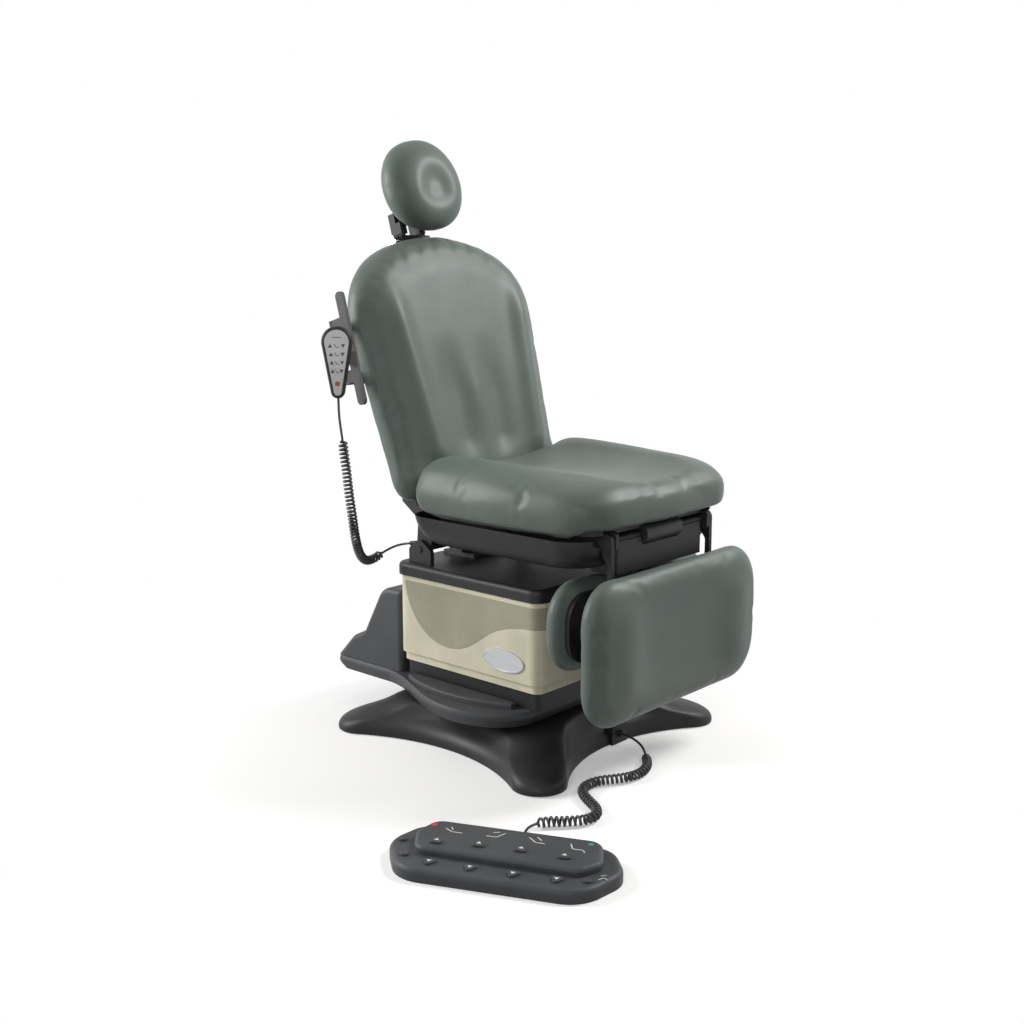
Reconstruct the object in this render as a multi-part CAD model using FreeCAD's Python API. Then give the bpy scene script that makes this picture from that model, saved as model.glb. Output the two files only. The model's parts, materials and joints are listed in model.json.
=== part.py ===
import FreeCAD, Part
import math
import os

# Procedure chair. Millimetres. +Z up, front towards -Y, the sitter's right towards -X.
# The origin is on the floor at the axis of the turntable.

V = FreeCAD.Vector
X_AXIS = V(1, 0, 0)
Y_AXIS = V(0, 1, 0)
Z_AXIS = V(0, 0, 1)

# Fits
RUNNING_GAP = 0.06
SLIDING_GAP = 0.4
PART_GAP = 2.0
SOFT_GAP = 0.6

# Base with four lobes
LOBE_X = 300.0
LOBE_Y = 300.0
LOBE_RADIUS = 66.0
WAIST_X = 280.0
WAIST_Y = 264.0
BASE_RIM_Z = 20.0
BASE_TOP_Z = 90.0
BASE_LIFT = 2.0
COVER_WALL = 4.0
PLATE_THICKNESS = 8.0
PLATE_INSET = 8.0
PEDESTAL_TOP_Z = 66.0
SLEW_OUTER_RADIUS = 145.0
SLEW_RADIUS = 118.0
SLEW_INNER_RADIUS = 70.0
SLEW_HEIGHT = 22.0

# Turning deck
DECK_BOTTOM_Z = 96.0
DECK_FRAME_THICKNESS = 12.0
DECK_TOP_Z = 132.0
DECK_HALF_WIDTH = 212.0
DECK_REAR_Y = 518.0
DECK_FRONT_Y = -196.0
DECK_BULGE_X = 319.0
DECK_BULGE_Y = -30.0
DECK_UNDERCUT = 10.0
PEDAL_INNER_X = 209.0
PEDAL_OUTER_X = 272.0
PEDAL_REAR_Y = 205.0
PEDAL_FRONT_Y = -150.0
PEDAL_TOP_Z = 145.0
PEDAL_BOTTOM_Z = 128.0
PEDAL_PIVOT_RADIUS = 3.0
PEDAL_PIVOT_LENGTH = 14.0
PEDAL_TRAVEL_ROOM = 12.0

# Lift column
COLUMN_Y = 10.5
SHROUD_HALF_WIDTH = 220.0
SHROUD_HALF_LENGTH = 239.5
SHROUD_RADIUS = 30.0
SHROUD_WALL = 4.0
SHROUD_GAP = 4.0
UPPER_SHROUD_BOTTOM_Z = 200.0
MIDDLE_SHROUD_BOTTOM_Z = 178.0
HEAD_Z = 404.0
STAGE_DROP = 12.0
TUBE_HALF = 150.0
TUBE_WALL = 8.0
TUBE_GAP = 0.5
HEAD_PLATE_THICKNESS = 10.0
ACTUATOR_RADIUS = 30.0
ACTUATOR_WALL = 6.0
LIFT_MOTOR_RADIUS = 28.0
LIFT_MOTOR_LENGTH = 75.0
CAP_OVERHANG = 4.0
CAP_REAR_OVERHANG = 9.0
CAP_HEIGHT = 32.0
CAP_EDGE_RADIUS = 12.0
PANEL_THICKNESS = 1.0
BADGE_LENGTH = 132.0
BADGE_HEIGHT = 56.0
BADGE_THICKNESS = 3.5
BADGE_RIM = 4.0
BADGE_Y = -118.0
BADGE_Z = 246.0

# Rear motor cover
HUMP_HALF_WIDTH = 206.0
HUMP_FRONT_Y = 256.0
HUMP_TOP_LENGTH = 72.0
HUMP_TOP_Z = 352.0
HUMP_STEP_Y = 402.0
HUMP_STEP_Z = 218.0
HUMP_REAR_Y = 510.0
HUMP_WALL = 4.0
INLET_WIDTH = 34.0
INLET_HEIGHT = 24.0
INLET_DEPTH = 14.0

# Seat
TILT_Y = 186.0
TILT_Z = 473.0
SHAFT_RADIUS = 9.0
RAIL_X = 150.0
RAIL_WIDTH = 26.0
RAIL_BOTTOM_Z = 545.0
RAIL_TOP_Z = 580.0
EAR_THICKNESS = 12.0
EAR_RADIUS = 25.0
CHEEK_THICKNESS = 12.0
DRIVE_HALF_LENGTH = 70.0
DRIVE_RADIUS = 24.0
SEAT_BOTTOM_Z = 606.0
SEAT_SKIRT_Z = 586.0
SEAT_SKIRT_WALL = 24.0
SEAT_HALF_WIDTH = 314.0
SEAT_SKIRT_X = SEAT_HALF_WIDTH - SEAT_SKIRT_WALL * 2
SEAT_FRONT_Y = -462.0
SEAT_REAR_Y = 116.0
SEAT_HEIGHT = 130.0
SEAT_SADDLE_DEPTH = 22.0
SEAT_SADDLE_RADIUS = 800.0
SEAT_BOARD_THICKNESS = 14.0
PAN_BOTTOM_Z = 503.0
PAN_WALL = 4.0
PAN_LOW = (225.0, -340.0, 104.0)
PAN_BEND = (268.0, -392.0, 132.0)
PAN_HIGH = (286.0, -400.0, 150.0)
FRONT_COVER_HALF_WIDTH = 172.0
FRONT_COVER_FRONT_Y = -416.0
FRONT_COVER_REAR_Y = -340.0
FRONT_COVER_BOTTOM_Z = 494.0
FRONT_COVER_TOP_Z = 572.0

# Back, drawn upright with its hinge at the local origin, then leaned
BACK_HINGE_Y = 240.0
BACK_HINGE_Z = 600.0
BACK_LEAN = 16.5
HINGE_DEPTH = 136.0
BACK_BOTTOM = -20.0
BACK_TOP = 660.0
BACK_SHOULDER = 412.0
BACK_BOTTOM_HALF = 290.0
BACK_SHOULDER_HALF = 324.0
BACK_ARCH_ANGLE = 24.0
BACK_THICKNESS = 88.0
BACK_CHANNEL_DEPTH = 14.0
BACK_CHANNEL_RADIUS = 420.0
BACK_CHANNEL_FADE = 0.035
BACK_SHELL_THICKNESS = 6.0
BACK_SHELL_INSET = 34.0
BACK_BAR_WIDTH = 24.0
BACK_BAR_DEPTH = 22.0
BACK_BAR_TOP = 500.0
RAIL_BAR_X = 345.0
RAIL_BAR_THICKNESS = 9.0
RAIL_BAR_LOW = 235.0
RAIL_BAR_HIGH = 515.0
RAIL_BAR_DEPTH = 34.0
RAIL_BAR_WIDTH = 26.0
RAIL_ARM_HEIGHT = 30.0

# Hand control, hung upright beside the rail
HAND_X = -402.0
HAND_Y = 252.0
HAND_TOP_Z = 1040.0
HAND_LENGTH = 172.0
HAND_TOP_RADIUS = 37.0
HAND_TAIL_RADIUS = 17.0
HAND_THICKNESS = 28.0
HAND_TURN = -45.0
FACE_THICKNESS = 1.2
FACE_MARGIN = 8.0

# Headrest
POST_SPACING = 36.0
POST_RADIUS = 6.0
POST_DEPTH = 104.0
POST_LOW = 420.0
HEAD_PIN_HEIGHT = 729.0
POST_HIGH = HEAD_PIN_HEIGHT - 16.0
HEAD_PIN_DEPTH = 130.0
HEAD_LOW = 671.0
HEAD_HEIGHT = 238.0
HEAD_HALF_WIDTH = 126.0
HEAD_THICKNESS = 108.0
HEAD_FRONT = -24.0
HEAD_DIMPLE_RADIUS = 60.0
HEAD_DIMPLE_DEPTH = 12.0
HEAD_SHELL_THICKNESS = 8.0
GUIDE_LOW = 600.0
GUIDE_HIGH = 676.0
GUIDE_REAR = 130.0
KNOB_DEPTH = 117.0
KNOB_HEIGHT = 662.0
KNOB_RADIUS = 14.0
KNOB_LOBE = 4.0
KNOB_LENGTH = 20.0

# Leg rest, hanging
LEG_HINGE_Y = -405.0
LEG_HINGE_Z = 575.0
LEG_FRONT_Y = -490.0
LEG_THICKNESS = 64.0
LEG_OVERHANG = 20.0
LEG_HALF_WIDTH = SEAT_HALF_WIDTH + LEG_OVERHANG
LEG_LOW_Z = 160.0
LEG_HIGH_Z = 508.0
LEG_CORNER_RADIUS = 96.0
LEG_DISH_DEPTH = 9.0
LEG_DISH_RADIUS = 2600.0
BOARD_THICKNESS = 12.0
BOARD_LOW_Z = 218.0
BOARD_INSET = 84.0
ARM_WIDTH = 12.0

# Footrest, folded behind the leg rest
FOOT_PIN_Y = -406.0
FOOT_PIN_Z = 196.0
FOOT_PIN_RADIUS = 5.0
FOOT_PIN_X = 168.0
FOOT_HALF_WIDTH = LEG_HALF_WIDTH - 29.0
FOOT_LOW_Z = 262.0
FOOT_HIGH_Z = 486.0
FOOT_CORNER_RADIUS = 92.0
FOOT_PLATE_FRONT_Y = -366.0
FOOT_PLATE_THICKNESS = 14.0
FOOT_PAD_THICKNESS = 51.0
FOOT_PLATE_INSET = 30.0
FOOT_ARM_THICKNESS = 10.0
FOOT_BRIDGE_LOW_Z = 272.0
FOOT_BRIDGE_HIGH_Z = 322.0

# Foot control on the floor, drawn along X and then turned
CONTROL_X = -670.0
CONTROL_Y = -520.0
CONTROL_TURN = -65.7
CONTROL_HALF_LENGTH = 250.0
CONTROL_FRONT = -100.0
CONTROL_REAR = 108.0
CONTROL_STEP_Z = 28.0
CONTROL_TOP_Z = 46.0
BUTTON_SIZE = 18.5
BUTTON_PROUD = 5.0
BUTTON_POCKET = 9.0
BUTTON_TRAVEL = 2.5
BUTTON_FIT = 0.3
ROUND_BUTTON_RADIUS = 9.0
RAISE_ROW = [(-135, -8), (-49, 2), (38, 6), (128, 2)]
LOWER_ROW = [(-130, -65), (-45, -66), (43, -66), (130, -63)]
ROUND_PLACES = [(-218, 16), (-190, -46), (188, -50)]

# Cords
CORD_RADIUS = 3.0
CURL_RADIUS = 9.0
FOOT_CURLS = 50
HAND_CURLS = 44
FOOT_SOCKET_X = 45.0
FOOT_SOCKET_Y = -262.0
FOOT_SOCKET_TOP_Z = 48.0
SOCKET_LENGTH = 22.0
FOOT_ROUTE = [
    V(45, -282, 26), V(47, -312, 23), V(38, -344, 16), V(16, -370, 13), V(-10, -393, 12.5), V(-38, -418, 12.5),
    V(-70, -438, 12.5), V(-106, -446, 12.5), V(-142, -440, 12.5), V(-174, -421, 12.5), V(-206, -401, 12.5),
    V(-240, -395, 12.5), V(-272, -404, 12.5), V(-296, -430, 12.5), V(-314, -462, 12.5), V(-332, -495, 12.5),
    V(-362, -517, 12.5), V(-396, -512, 12.5), V(-426, -488, 12.5), V(-452, -460, 12.5), V(-482, -444, 12.5),
    V(-512, -447, 13), V(-539.2, -464.6, 14), V(-566.5, -476.9, 14)]
FOOT_LEADS = (4, 3)
HAND_SOCKET_RADIUS = 6.0
HAND_ROUTE = [
    V(-402, 252, 868), V(-402, 252, 836), V(-401, 249, 804), V(-399, 244, 768), V(-397, 241, 730), V(-393, 239, 692),
    V(-388, 240, 654), V(-383, 240, 615), V(-376, 241, 578), V(-367, 246, 540), V(-353, 255, 506), V(-334, 268, 476),
    V(-310, 282, 454), V(-284, 294, 440), V(-254, 300, 440), V(-226, 298, 452), V(-200, 284, 466), V(-186, 262, 474),
    V(-182, 238, 478)]
HAND_LEADS = (3, 3)
SOCKET_RADIUS = 9.0


def box(x0, x1, y0, y1, z0, z1):
    return Part.makeBox(x1 - x0, y1 - y0, z1 - z0, V(x0, y0, z0))


def rod(start, direction, radius, length):
    return Part.makeCylinder(radius, length, start, direction)


def tube(start, direction, outer, inner, length):
    return rod(start, direction, outer, length).cut(rod(start, direction, inner, length))


def union(shapes):
    first = shapes[0].fuse(shapes[1:])
    return first.removeSplitter()


def both_sides(shape):
    # The shape and its mirror image across the chair's middle plane.
    return [shape, shape.mirror(V(0, 0, 0), X_AXIS)]


def rounded_polygon(points, radii):
    # A closed wire through the points whose corners are arcs of the given radii.
    count = len(points)
    corners = []
    for i in range(count):
        point = points[i]
        before = (points[i - 1] - point).normalize()
        after = (points[(i + 1) % count] - point).normalize()
        if radii[i] == 0:
            corners.append((point, None, point))
            continue
        half = before.getAngle(after) / 2
        inward = (before + after).normalize()
        setback = radii[i] / math.tan(half)
        middle = point + inward * (radii[i] / math.sin(half) - radii[i])
        corners.append((point + before * setback, middle, point + after * setback))
    edges = []
    for i in range(count):
        start, middle, end = corners[i]
        if middle is not None:
            edges.append(Part.Arc(start, middle, end).toShape())
        following = corners[(i + 1) % count][0]
        if end.distanceToPoint(following) > 0.001:
            edges.append(Part.LineSegment(end, following).toShape())
    return Part.Wire(edges)


def plate(points, radii, direction):
    return Part.Face(rounded_polygon(points, radii)).extrude(direction)


def rectangle(x0, x1, y0, y1, z):
    return [V(x0, y0, z), V(x1, y0, z), V(x1, y1, z), V(x0, y1, z)]


def rounded_block(x0, x1, y0, y1, z0, z1, radius):
    return plate(rectangle(x0, x1, y0, y1, z0), [radius] * 4, V(0, 0, z1 - z0))


def side_plate(x0, x1, points, radii):
    # A plate drawn in the YZ plane and given its thickness along X.
    return plate([V(x0, y, z) for y, z in points], radii, V(x1 - x0, 0, 0))


def loft(wires):
    return Part.makeLoft(wires, True, False)


def lean_back(shape):
    # From the back's upright drawing to its leaned place on the hinge.
    leaned = shape.copy()
    leaned.translate(V(0, -HINGE_DEPTH, 0))
    leaned.rotate(V(0, 0, 0), X_AXIS, -BACK_LEAN)
    leaned.translate(V(0, BACK_HINGE_Y, BACK_HINGE_Z))
    return leaned


def save(name, shape):
    solids = shape.Solids
    if not shape.isValid() or not solids:
        raise ValueError(name + " is not a valid solid")
    shape = solids[0] if len(solids) == 1 else Part.makeCompound(solids)
    shape.exportStep("parts/" + name + ".step")
    print(name, len(solids), round(shape.Volume / 1000.0, 1), "cm3")


# Base

def lobed_wire(inset, reach, z):
    # Four lobe arcs joined by four waist arcs; reach draws the lobes in towards the middle.
    lobe_x = LOBE_X * reach
    lobe_y = LOBE_Y * reach
    lobe = LOBE_RADIUS - inset + (1 - reach) * 30
    waist_x = WAIST_X - inset - (1 - reach) * 150
    waist_y = WAIST_Y - inset - (1 - reach) * 130
    drop_x = lobe_x - waist_x
    drop_y = lobe_y - waist_y
    side_radius = (lobe_y ** 2 + drop_x ** 2 - lobe ** 2) / (2 * (lobe + drop_x))
    front_radius = (lobe_x ** 2 + drop_y ** 2 - lobe ** 2) / (2 * (lobe + drop_y))
    edges = []
    for side_x, side_y in [(1, 1), (-1, 1), (-1, -1), (1, -1)]:
        centre = V(side_x * lobe_x, side_y * lobe_y, z)
        side = (V(side_x * (waist_x + side_radius), 0, z) - centre).normalize()
        front = (V(0, side_y * (waist_y + front_radius), z) - centre).normalize()
        outward = (side + front).normalize()
        ends = [centre + side * lobe, centre + front * lobe]
        if side_x * side_y < 0:
            ends.reverse()
        edges.append((ends[0], centre + outward * lobe, ends[1]))
    waists = [V(0, waist_y, z), V(-waist_x, 0, z), V(0, -waist_y, z), V(waist_x, 0, z)]
    wire = []
    for i in range(4):
        start, middle, end = edges[i]
        wire.append(Part.Arc(start, middle, end).toShape())
        wire.append(Part.Arc(end, waists[i], edges[(i + 1) % 4][0]).toShape())
    return Part.Wire(wire)


def base_form(inset, drop):
    levels = [(BASE_LIFT - drop, 1.0), (BASE_RIM_Z - drop, 0.99), (BASE_RIM_Z + 20 - drop, 0.9)]
    levels += [(BASE_RIM_Z + 42 - drop, 0.72), (BASE_TOP_Z - drop, 0.5)]
    return loft([lobed_wire(inset, reach, z) for z, reach in levels])


def make_base():
    opening = rod(V(0, 0, 0), Z_AXIS, SLEW_OUTER_RADIUS + PART_GAP, BASE_TOP_Z + 10)
    socket_room = socket_block(PART_GAP / 4)
    cover = base_form(0, 0).cut([base_form(COVER_WALL, COVER_WALL), opening, socket_room])
    save("base_cover", cover)
    outline = lobed_wire(PLATE_INSET, 1.0, 0)
    floor_plate = Part.Face(outline).extrude(V(0, 0, PLATE_THICKNESS))
    pedestal_height = PEDESTAL_TOP_Z - PLATE_THICKNESS
    pedestal = tube(V(0, 0, PLATE_THICKNESS), Z_AXIS, SLEW_OUTER_RADIUS, SLEW_RADIUS - 18, pedestal_height)
    save("base_plate", union([floor_plate.cut(socket_room), pedestal]))
    ring = tube(V(0, 0, PEDESTAL_TOP_Z), Z_AXIS, SLEW_OUTER_RADIUS, SLEW_RADIUS, SLEW_HEIGHT)
    save("slew_ring_outer", ring)


def socket_block(grow):
    width = 30 + grow
    return box(FOOT_SOCKET_X - width, FOOT_SOCKET_X + width, FOOT_SOCKET_Y - 10 - grow, FOOT_SOCKET_Y + 46 + grow,
               BASE_LIFT / 2 - grow, FOOT_SOCKET_TOP_Z + grow)


def make_foot_socket():
    end = FOOT_ROUTE[0]
    inward = (end - FOOT_ROUTE[1]).normalize()
    collar = rod(end, inward, SOCKET_RADIUS, SOCKET_LENGTH)
    save("foot_cord_socket", union([socket_block(0), collar]))


# Turning deck

def deck_wire(inset, z):
    half = DECK_HALF_WIDTH - inset
    bulge = DECK_BULGE_X - inset
    side = [V(half, 300, z), V(half + 26, 209, z), V(bulge - 14, 60, z), V(bulge, DECK_BULGE_Y, z)]
    side += [V(bulge - 31, -136, z), V(half + 4, DECK_FRONT_Y + inset, z)]
    right = Part.BSplineCurve()
    right.interpolate(side)
    left = Part.BSplineCurve()
    left.interpolate([V(-p.x, p.y, z) for p in reversed(side)])
    rear = DECK_REAR_Y - inset
    corner = 40.0
    bend = corner * (1 - math.sqrt(0.5))
    edges = [right.toShape(), Part.LineSegment(side[-1], V(-side[-1].x, side[-1].y, z)).toShape(), left.toShape()]
    edges.append(Part.LineSegment(V(-half, 300, z), V(-half, rear - corner, z)).toShape())
    edges.append(Part.Arc(V(-half, rear - corner, z), V(-half + bend, rear - bend, z),
                          V(-half + corner, rear, z)).toShape())
    edges.append(Part.LineSegment(V(-half + corner, rear, z), V(half - corner, rear, z)).toShape())
    edges.append(Part.Arc(V(half - corner, rear, z), V(half - bend, rear - bend, z),
                          V(half, rear - corner, z)).toShape())
    edges.append(Part.LineSegment(V(half, rear - corner, z), V(half, 300, z)).toShape())
    return Part.Wire(edges)


def pedal_form(grow, z0, z1):
    # A crescent with a straight inner edge, on the sitter's right.
    inner = -PEDAL_INNER_X + grow
    outer = -PEDAL_OUTER_X - grow
    rear = PEDAL_REAR_Y + grow
    front = PEDAL_FRONT_Y - grow
    middle_y = (rear + front) / 2
    nose = 20.0
    tip = -PEDAL_INNER_X - nose - grow
    edges = [Part.Arc(V(tip, rear, z0), V(outer, middle_y, z0), V(tip, front, z0)).toShape()]
    edges.append(Part.LineSegment(V(tip, front, z0), V(inner, front, z0)).toShape())
    edges.append(Part.LineSegment(V(inner, front, z0), V(inner, rear, z0)).toShape())
    edges.append(Part.LineSegment(V(inner, rear, z0), V(tip, rear, z0)).toShape())
    return Part.Face(Part.Wire(edges)).extrude(V(0, 0, z1 - z0))


def pedal_pivot(grow):
    start = V(-PEDAL_INNER_X - 8, PEDAL_FRONT_Y - PEDAL_PIVOT_LENGTH, PEDAL_BOTTOM_Z - 2)
    length = PEDAL_REAR_Y - PEDAL_FRONT_Y + 2 * PEDAL_PIVOT_LENGTH
    return rod(start, Y_AXIS, PEDAL_PIVOT_RADIUS + grow, length)


def pedal_solid():
    crescent = pedal_form(0, PEDAL_BOTTOM_Z, PEDAL_TOP_Z)
    top_edges = [e for e in crescent.Edges if e.BoundBox.ZMin > PEDAL_TOP_Z - 0.01]
    rounded = crescent.makeFillet(4.0, top_edges)
    return union([rounded, pedal_pivot(0)])


def make_deck():
    frame_bottom = DECK_BOTTOM_Z + 2
    frame_top = frame_bottom + DECK_FRAME_THICKNESS
    race_bottom = PEDESTAL_TOP_Z + SLIDING_GAP
    race = tube(V(0, 0, race_bottom), Z_AXIS, SLEW_RADIUS - SLIDING_GAP, SLEW_INNER_RADIUS,
                frame_top - race_bottom)
    frame_half = DECK_HALF_WIDTH - 16
    frame = rounded_block(-frame_half, frame_half, DECK_FRONT_Y + 14, DECK_REAR_Y - 60, frame_bottom, frame_top, 20)
    frame = frame.cut(rod(V(0, 0, 0), Z_AXIS, SLEW_INNER_RADIUS, DECK_TOP_Z))
    save("deck_frame", union([frame, race]))

    skirt = loft([deck_wire(DECK_UNDERCUT, DECK_BOTTOM_Z), deck_wire(2, frame_top)])
    slab = loft([deck_wire(2, frame_top), deck_wire(0, frame_top + 6), deck_wire(3, DECK_TOP_Z)])
    cover = union([skirt, slab])
    frame_room = rounded_block(-frame_half, frame_half, DECK_FRONT_Y + 14, DECK_REAR_Y - 60, 0, frame_top, 20)
    tube_room = box(-TUBE_HALF, TUBE_HALF, COLUMN_Y - TUBE_HALF, COLUMN_Y + TUBE_HALF, 0, DECK_TOP_Z + 1)
    pocket = pedal_form(PART_GAP, PEDAL_BOTTOM_Z - PEDAL_TRAVEL_ROOM, PEDAL_TOP_Z)
    cuts = [frame_room, tube_room, inlet_form()]
    cuts += both_sides(pocket)
    cuts += both_sides(pedal_pivot(RUNNING_GAP))
    save("deck_cover", cover.cut(cuts))
    right_pedal, left_pedal = both_sides(pedal_solid())
    save("brake_pedal_right", right_pedal)
    save("brake_pedal_left", left_pedal)
    recess = box(-INLET_WIDTH / 2 + 4, INLET_WIDTH / 2 - 4, DECK_REAR_Y - 8, DECK_REAR_Y + 8,
                 DECK_TOP_Z - 26, DECK_TOP_Z - 10)
    save("power_inlet", inlet_form().cut(recess))


def inlet_form():
    z_top = DECK_TOP_Z - 6
    return box(-INLET_WIDTH / 2, INLET_WIDTH / 2, DECK_REAR_Y - INLET_DEPTH, DECK_REAR_Y + 1,
               z_top - INLET_HEIGHT, z_top)


def hump_form(inset, half_width):
    front = HUMP_FRONT_Y + inset
    top = HUMP_TOP_Z - inset
    points = [(front, DECK_TOP_Z - inset), (front, top), (front + HUMP_TOP_LENGTH - inset, top), (HUMP_STEP_Y - inset, HUMP_STEP_Z)]
    points += [(HUMP_STEP_Y + 46 - inset, HUMP_STEP_Z - 22 - inset), (HUMP_REAR_Y - inset, DECK_TOP_Z - inset)]
    return side_plate(-half_width, half_width, points, [0, 6, 52, 22, 36, 0])


def make_hump():
    outer = hump_form(0, HUMP_HALF_WIDTH)
    limit = HUMP_HALF_WIDTH - 0.01
    side_edges = [e for e in outer.Edges if abs(e.BoundBox.XMin) > limit and abs(e.BoundBox.XMax) > limit
                  and e.BoundBox.XLength < 0.01 and e.BoundBox.ZMin > DECK_TOP_Z + 1]
    side_edges = [e for e in side_edges if e.BoundBox.YMin > HUMP_FRONT_Y + 1]
    outer = outer.makeFillet(14.0, side_edges)
    room = hump_form(HUMP_WALL, HUMP_HALF_WIDTH - 16)
    below = box(-HUMP_HALF_WIDTH - 1, HUMP_HALF_WIDTH + 1, HUMP_FRONT_Y - 1, HUMP_REAR_Y + 1, 0, DECK_TOP_Z)
    save("motor_cover", outer.cut([room, below]))
    electronics = box(-120, 120, HUMP_FRONT_Y + 8, HUMP_FRONT_Y + 68, DECK_TOP_Z, HUMP_TOP_Z - 60)
    save("control_box", electronics)


# Lift column

def shroud_block(step, z0, z1, grow=0.0):
    inset = step * (SHROUD_WALL + SHROUD_GAP) - grow
    return rounded_block(-SHROUD_HALF_WIDTH + inset, SHROUD_HALF_WIDTH - inset, COLUMN_Y - SHROUD_HALF_LENGTH + inset,
                         COLUMN_Y + SHROUD_HALF_LENGTH - inset, z0, z1, SHROUD_RADIUS - inset)


def shroud(step, z0, z1):
    return shroud_block(step, z0, z1).cut(shroud_block(step, z0 - 1, z1 + 1, -SHROUD_WALL))


def square_tube(step, z0, z1):
    half = TUBE_HALF - step * (TUBE_WALL + TUBE_GAP)
    inner = half - TUBE_WALL
    outside = box(-half, half, COLUMN_Y - half, COLUMN_Y + half, z0, z1)
    return outside.cut(box(-inner, inner, COLUMN_Y - inner, COLUMN_Y + inner, z0 - 1, z1 + 1))


def wave_panel():
    # A thin skin round the front and sides of the shroud, bounded below by one wave.
    top = HEAD_Z - 12
    rear = COLUMN_Y + SHROUD_HALF_LENGTH - SHROUD_RADIUS
    front = COLUMN_Y - SHROUD_HALF_LENGTH + SHROUD_RADIUS
    x = -SHROUD_HALF_WIDTH - 10
    wave = [V(x, rear, top), V(x, 199, 320), V(x, 150, 266), V(x, 72, 241), V(x, -8, 262), V(x, -75, 306)]
    wave += [V(x, -140, 330), V(x, front, 338)]
    curve = Part.BSplineCurve()
    curve.interpolate(wave)
    ahead = front - SHROUD_RADIUS - 10
    corners = [wave[-1], V(x, ahead, wave[-1].z), V(x, ahead, top), wave[0]]
    edges = [curve.toShape()] + [Part.LineSegment(p, q).toShape() for p, q in zip(corners, corners[1:])]
    region = Part.Face(Part.Wire(edges)).extrude(V(-2 * x, 0, 0))
    skin = shroud_block(0, UPPER_SHROUD_BOTTOM_Z, HEAD_Z, PANEL_THICKNESS)
    skin = skin.cut(shroud_block(0, UPPER_SHROUD_BOTTOM_Z - 1, HEAD_Z + 1))
    return skin.common(region)


def badge():
    # A blank oval plate with a raised rim on the sitter's right side of the shroud.
    ring = Part.Ellipse(V(0, 0, 0), BADGE_LENGTH / 2, BADGE_HEIGHT / 2).toShape()
    oval = Part.Face(Part.Wire([ring])).extrude(V(0, 0, BADGE_THICKNESS))
    inner = Part.Ellipse(V(0, 0, BADGE_THICKNESS - 1), BADGE_LENGTH / 2 - BADGE_RIM, BADGE_HEIGHT / 2 - BADGE_RIM)
    oval = oval.cut(Part.Face(Part.Wire([inner.toShape()])).extrude(V(0, 0, BADGE_THICKNESS)))
    oval.rotate(V(0, 0, 0), X_AXIS, 90)
    oval.rotate(V(0, 0, 0), Z_AXIS, -90)
    oval.translate(V(-SHROUD_HALF_WIDTH, BADGE_Y, BADGE_Z))
    return oval


def make_column():
    deck_frame_top = DECK_BOTTOM_Z + 2 + DECK_FRAME_THICKNESS
    fixed_top = HEAD_Z - 2 * STAGE_DROP + 4
    middle_top = HEAD_Z - STAGE_DROP
    save("fixed_shroud", shroud(2, DECK_TOP_Z, fixed_top))
    save("column_outer_tube", square_tube(0, deck_frame_top, fixed_top - 4))
    save("middle_shroud", shroud(1, MIDDLE_SHROUD_BOTTOM_Z, middle_top))
    flange = shroud_block(1, middle_top - 6, middle_top, -SHROUD_WALL)
    inner_half = TUBE_HALF - 2 * TUBE_WALL - TUBE_GAP
    flange = flange.cut(box(-inner_half, inner_half, COLUMN_Y - inner_half, COLUMN_Y + inner_half, 0, HEAD_Z))
    save("column_mid_tube", union([square_tube(1, deck_frame_top + 6, middle_top), flange]))
    save("upper_shroud", shroud(0, UPPER_SHROUD_BOTTOM_Z, HEAD_Z))
    save("shroud_panel", wave_panel())
    save("badge_plate", badge())
    head = shroud_block(0, HEAD_Z, HEAD_Z + HEAD_PLATE_THICKNESS)
    save("column_inner_tube", union([square_tube(2, deck_frame_top + 12, HEAD_Z), head]))

    axis_start = V(0, COLUMN_Y, deck_frame_top)
    bore = ACTUATOR_RADIUS - ACTUATOR_WALL
    body = rod(axis_start, Z_AXIS, ACTUATOR_RADIUS, fixed_top - deck_frame_top)
    motor = rod(V(0, COLUMN_Y, deck_frame_top + LIFT_MOTOR_RADIUS + 2), Y_AXIS, LIFT_MOTOR_RADIUS,
                ACTUATOR_RADIUS + LIFT_MOTOR_LENGTH)
    body = union([body, motor]).cut(rod(axis_start + V(0, 0, 6), Z_AXIS, bore, HEAD_Z))
    save("lift_actuator_body", body)
    sleeve_outer = bore - SLIDING_GAP
    sleeve_inner = sleeve_outer - ACTUATOR_WALL + 1
    sleeve = tube(axis_start + V(0, 0, 8), Z_AXIS, sleeve_outer, sleeve_inner, middle_top - deck_frame_top - 8)
    save("lift_actuator_sleeve", sleeve)
    rod_start = axis_start + V(0, 0, 12)
    save("lift_actuator_rod", rod(rod_start, Z_AXIS, sleeve_inner - SLIDING_GAP, HEAD_Z - rod_start.z))


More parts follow.
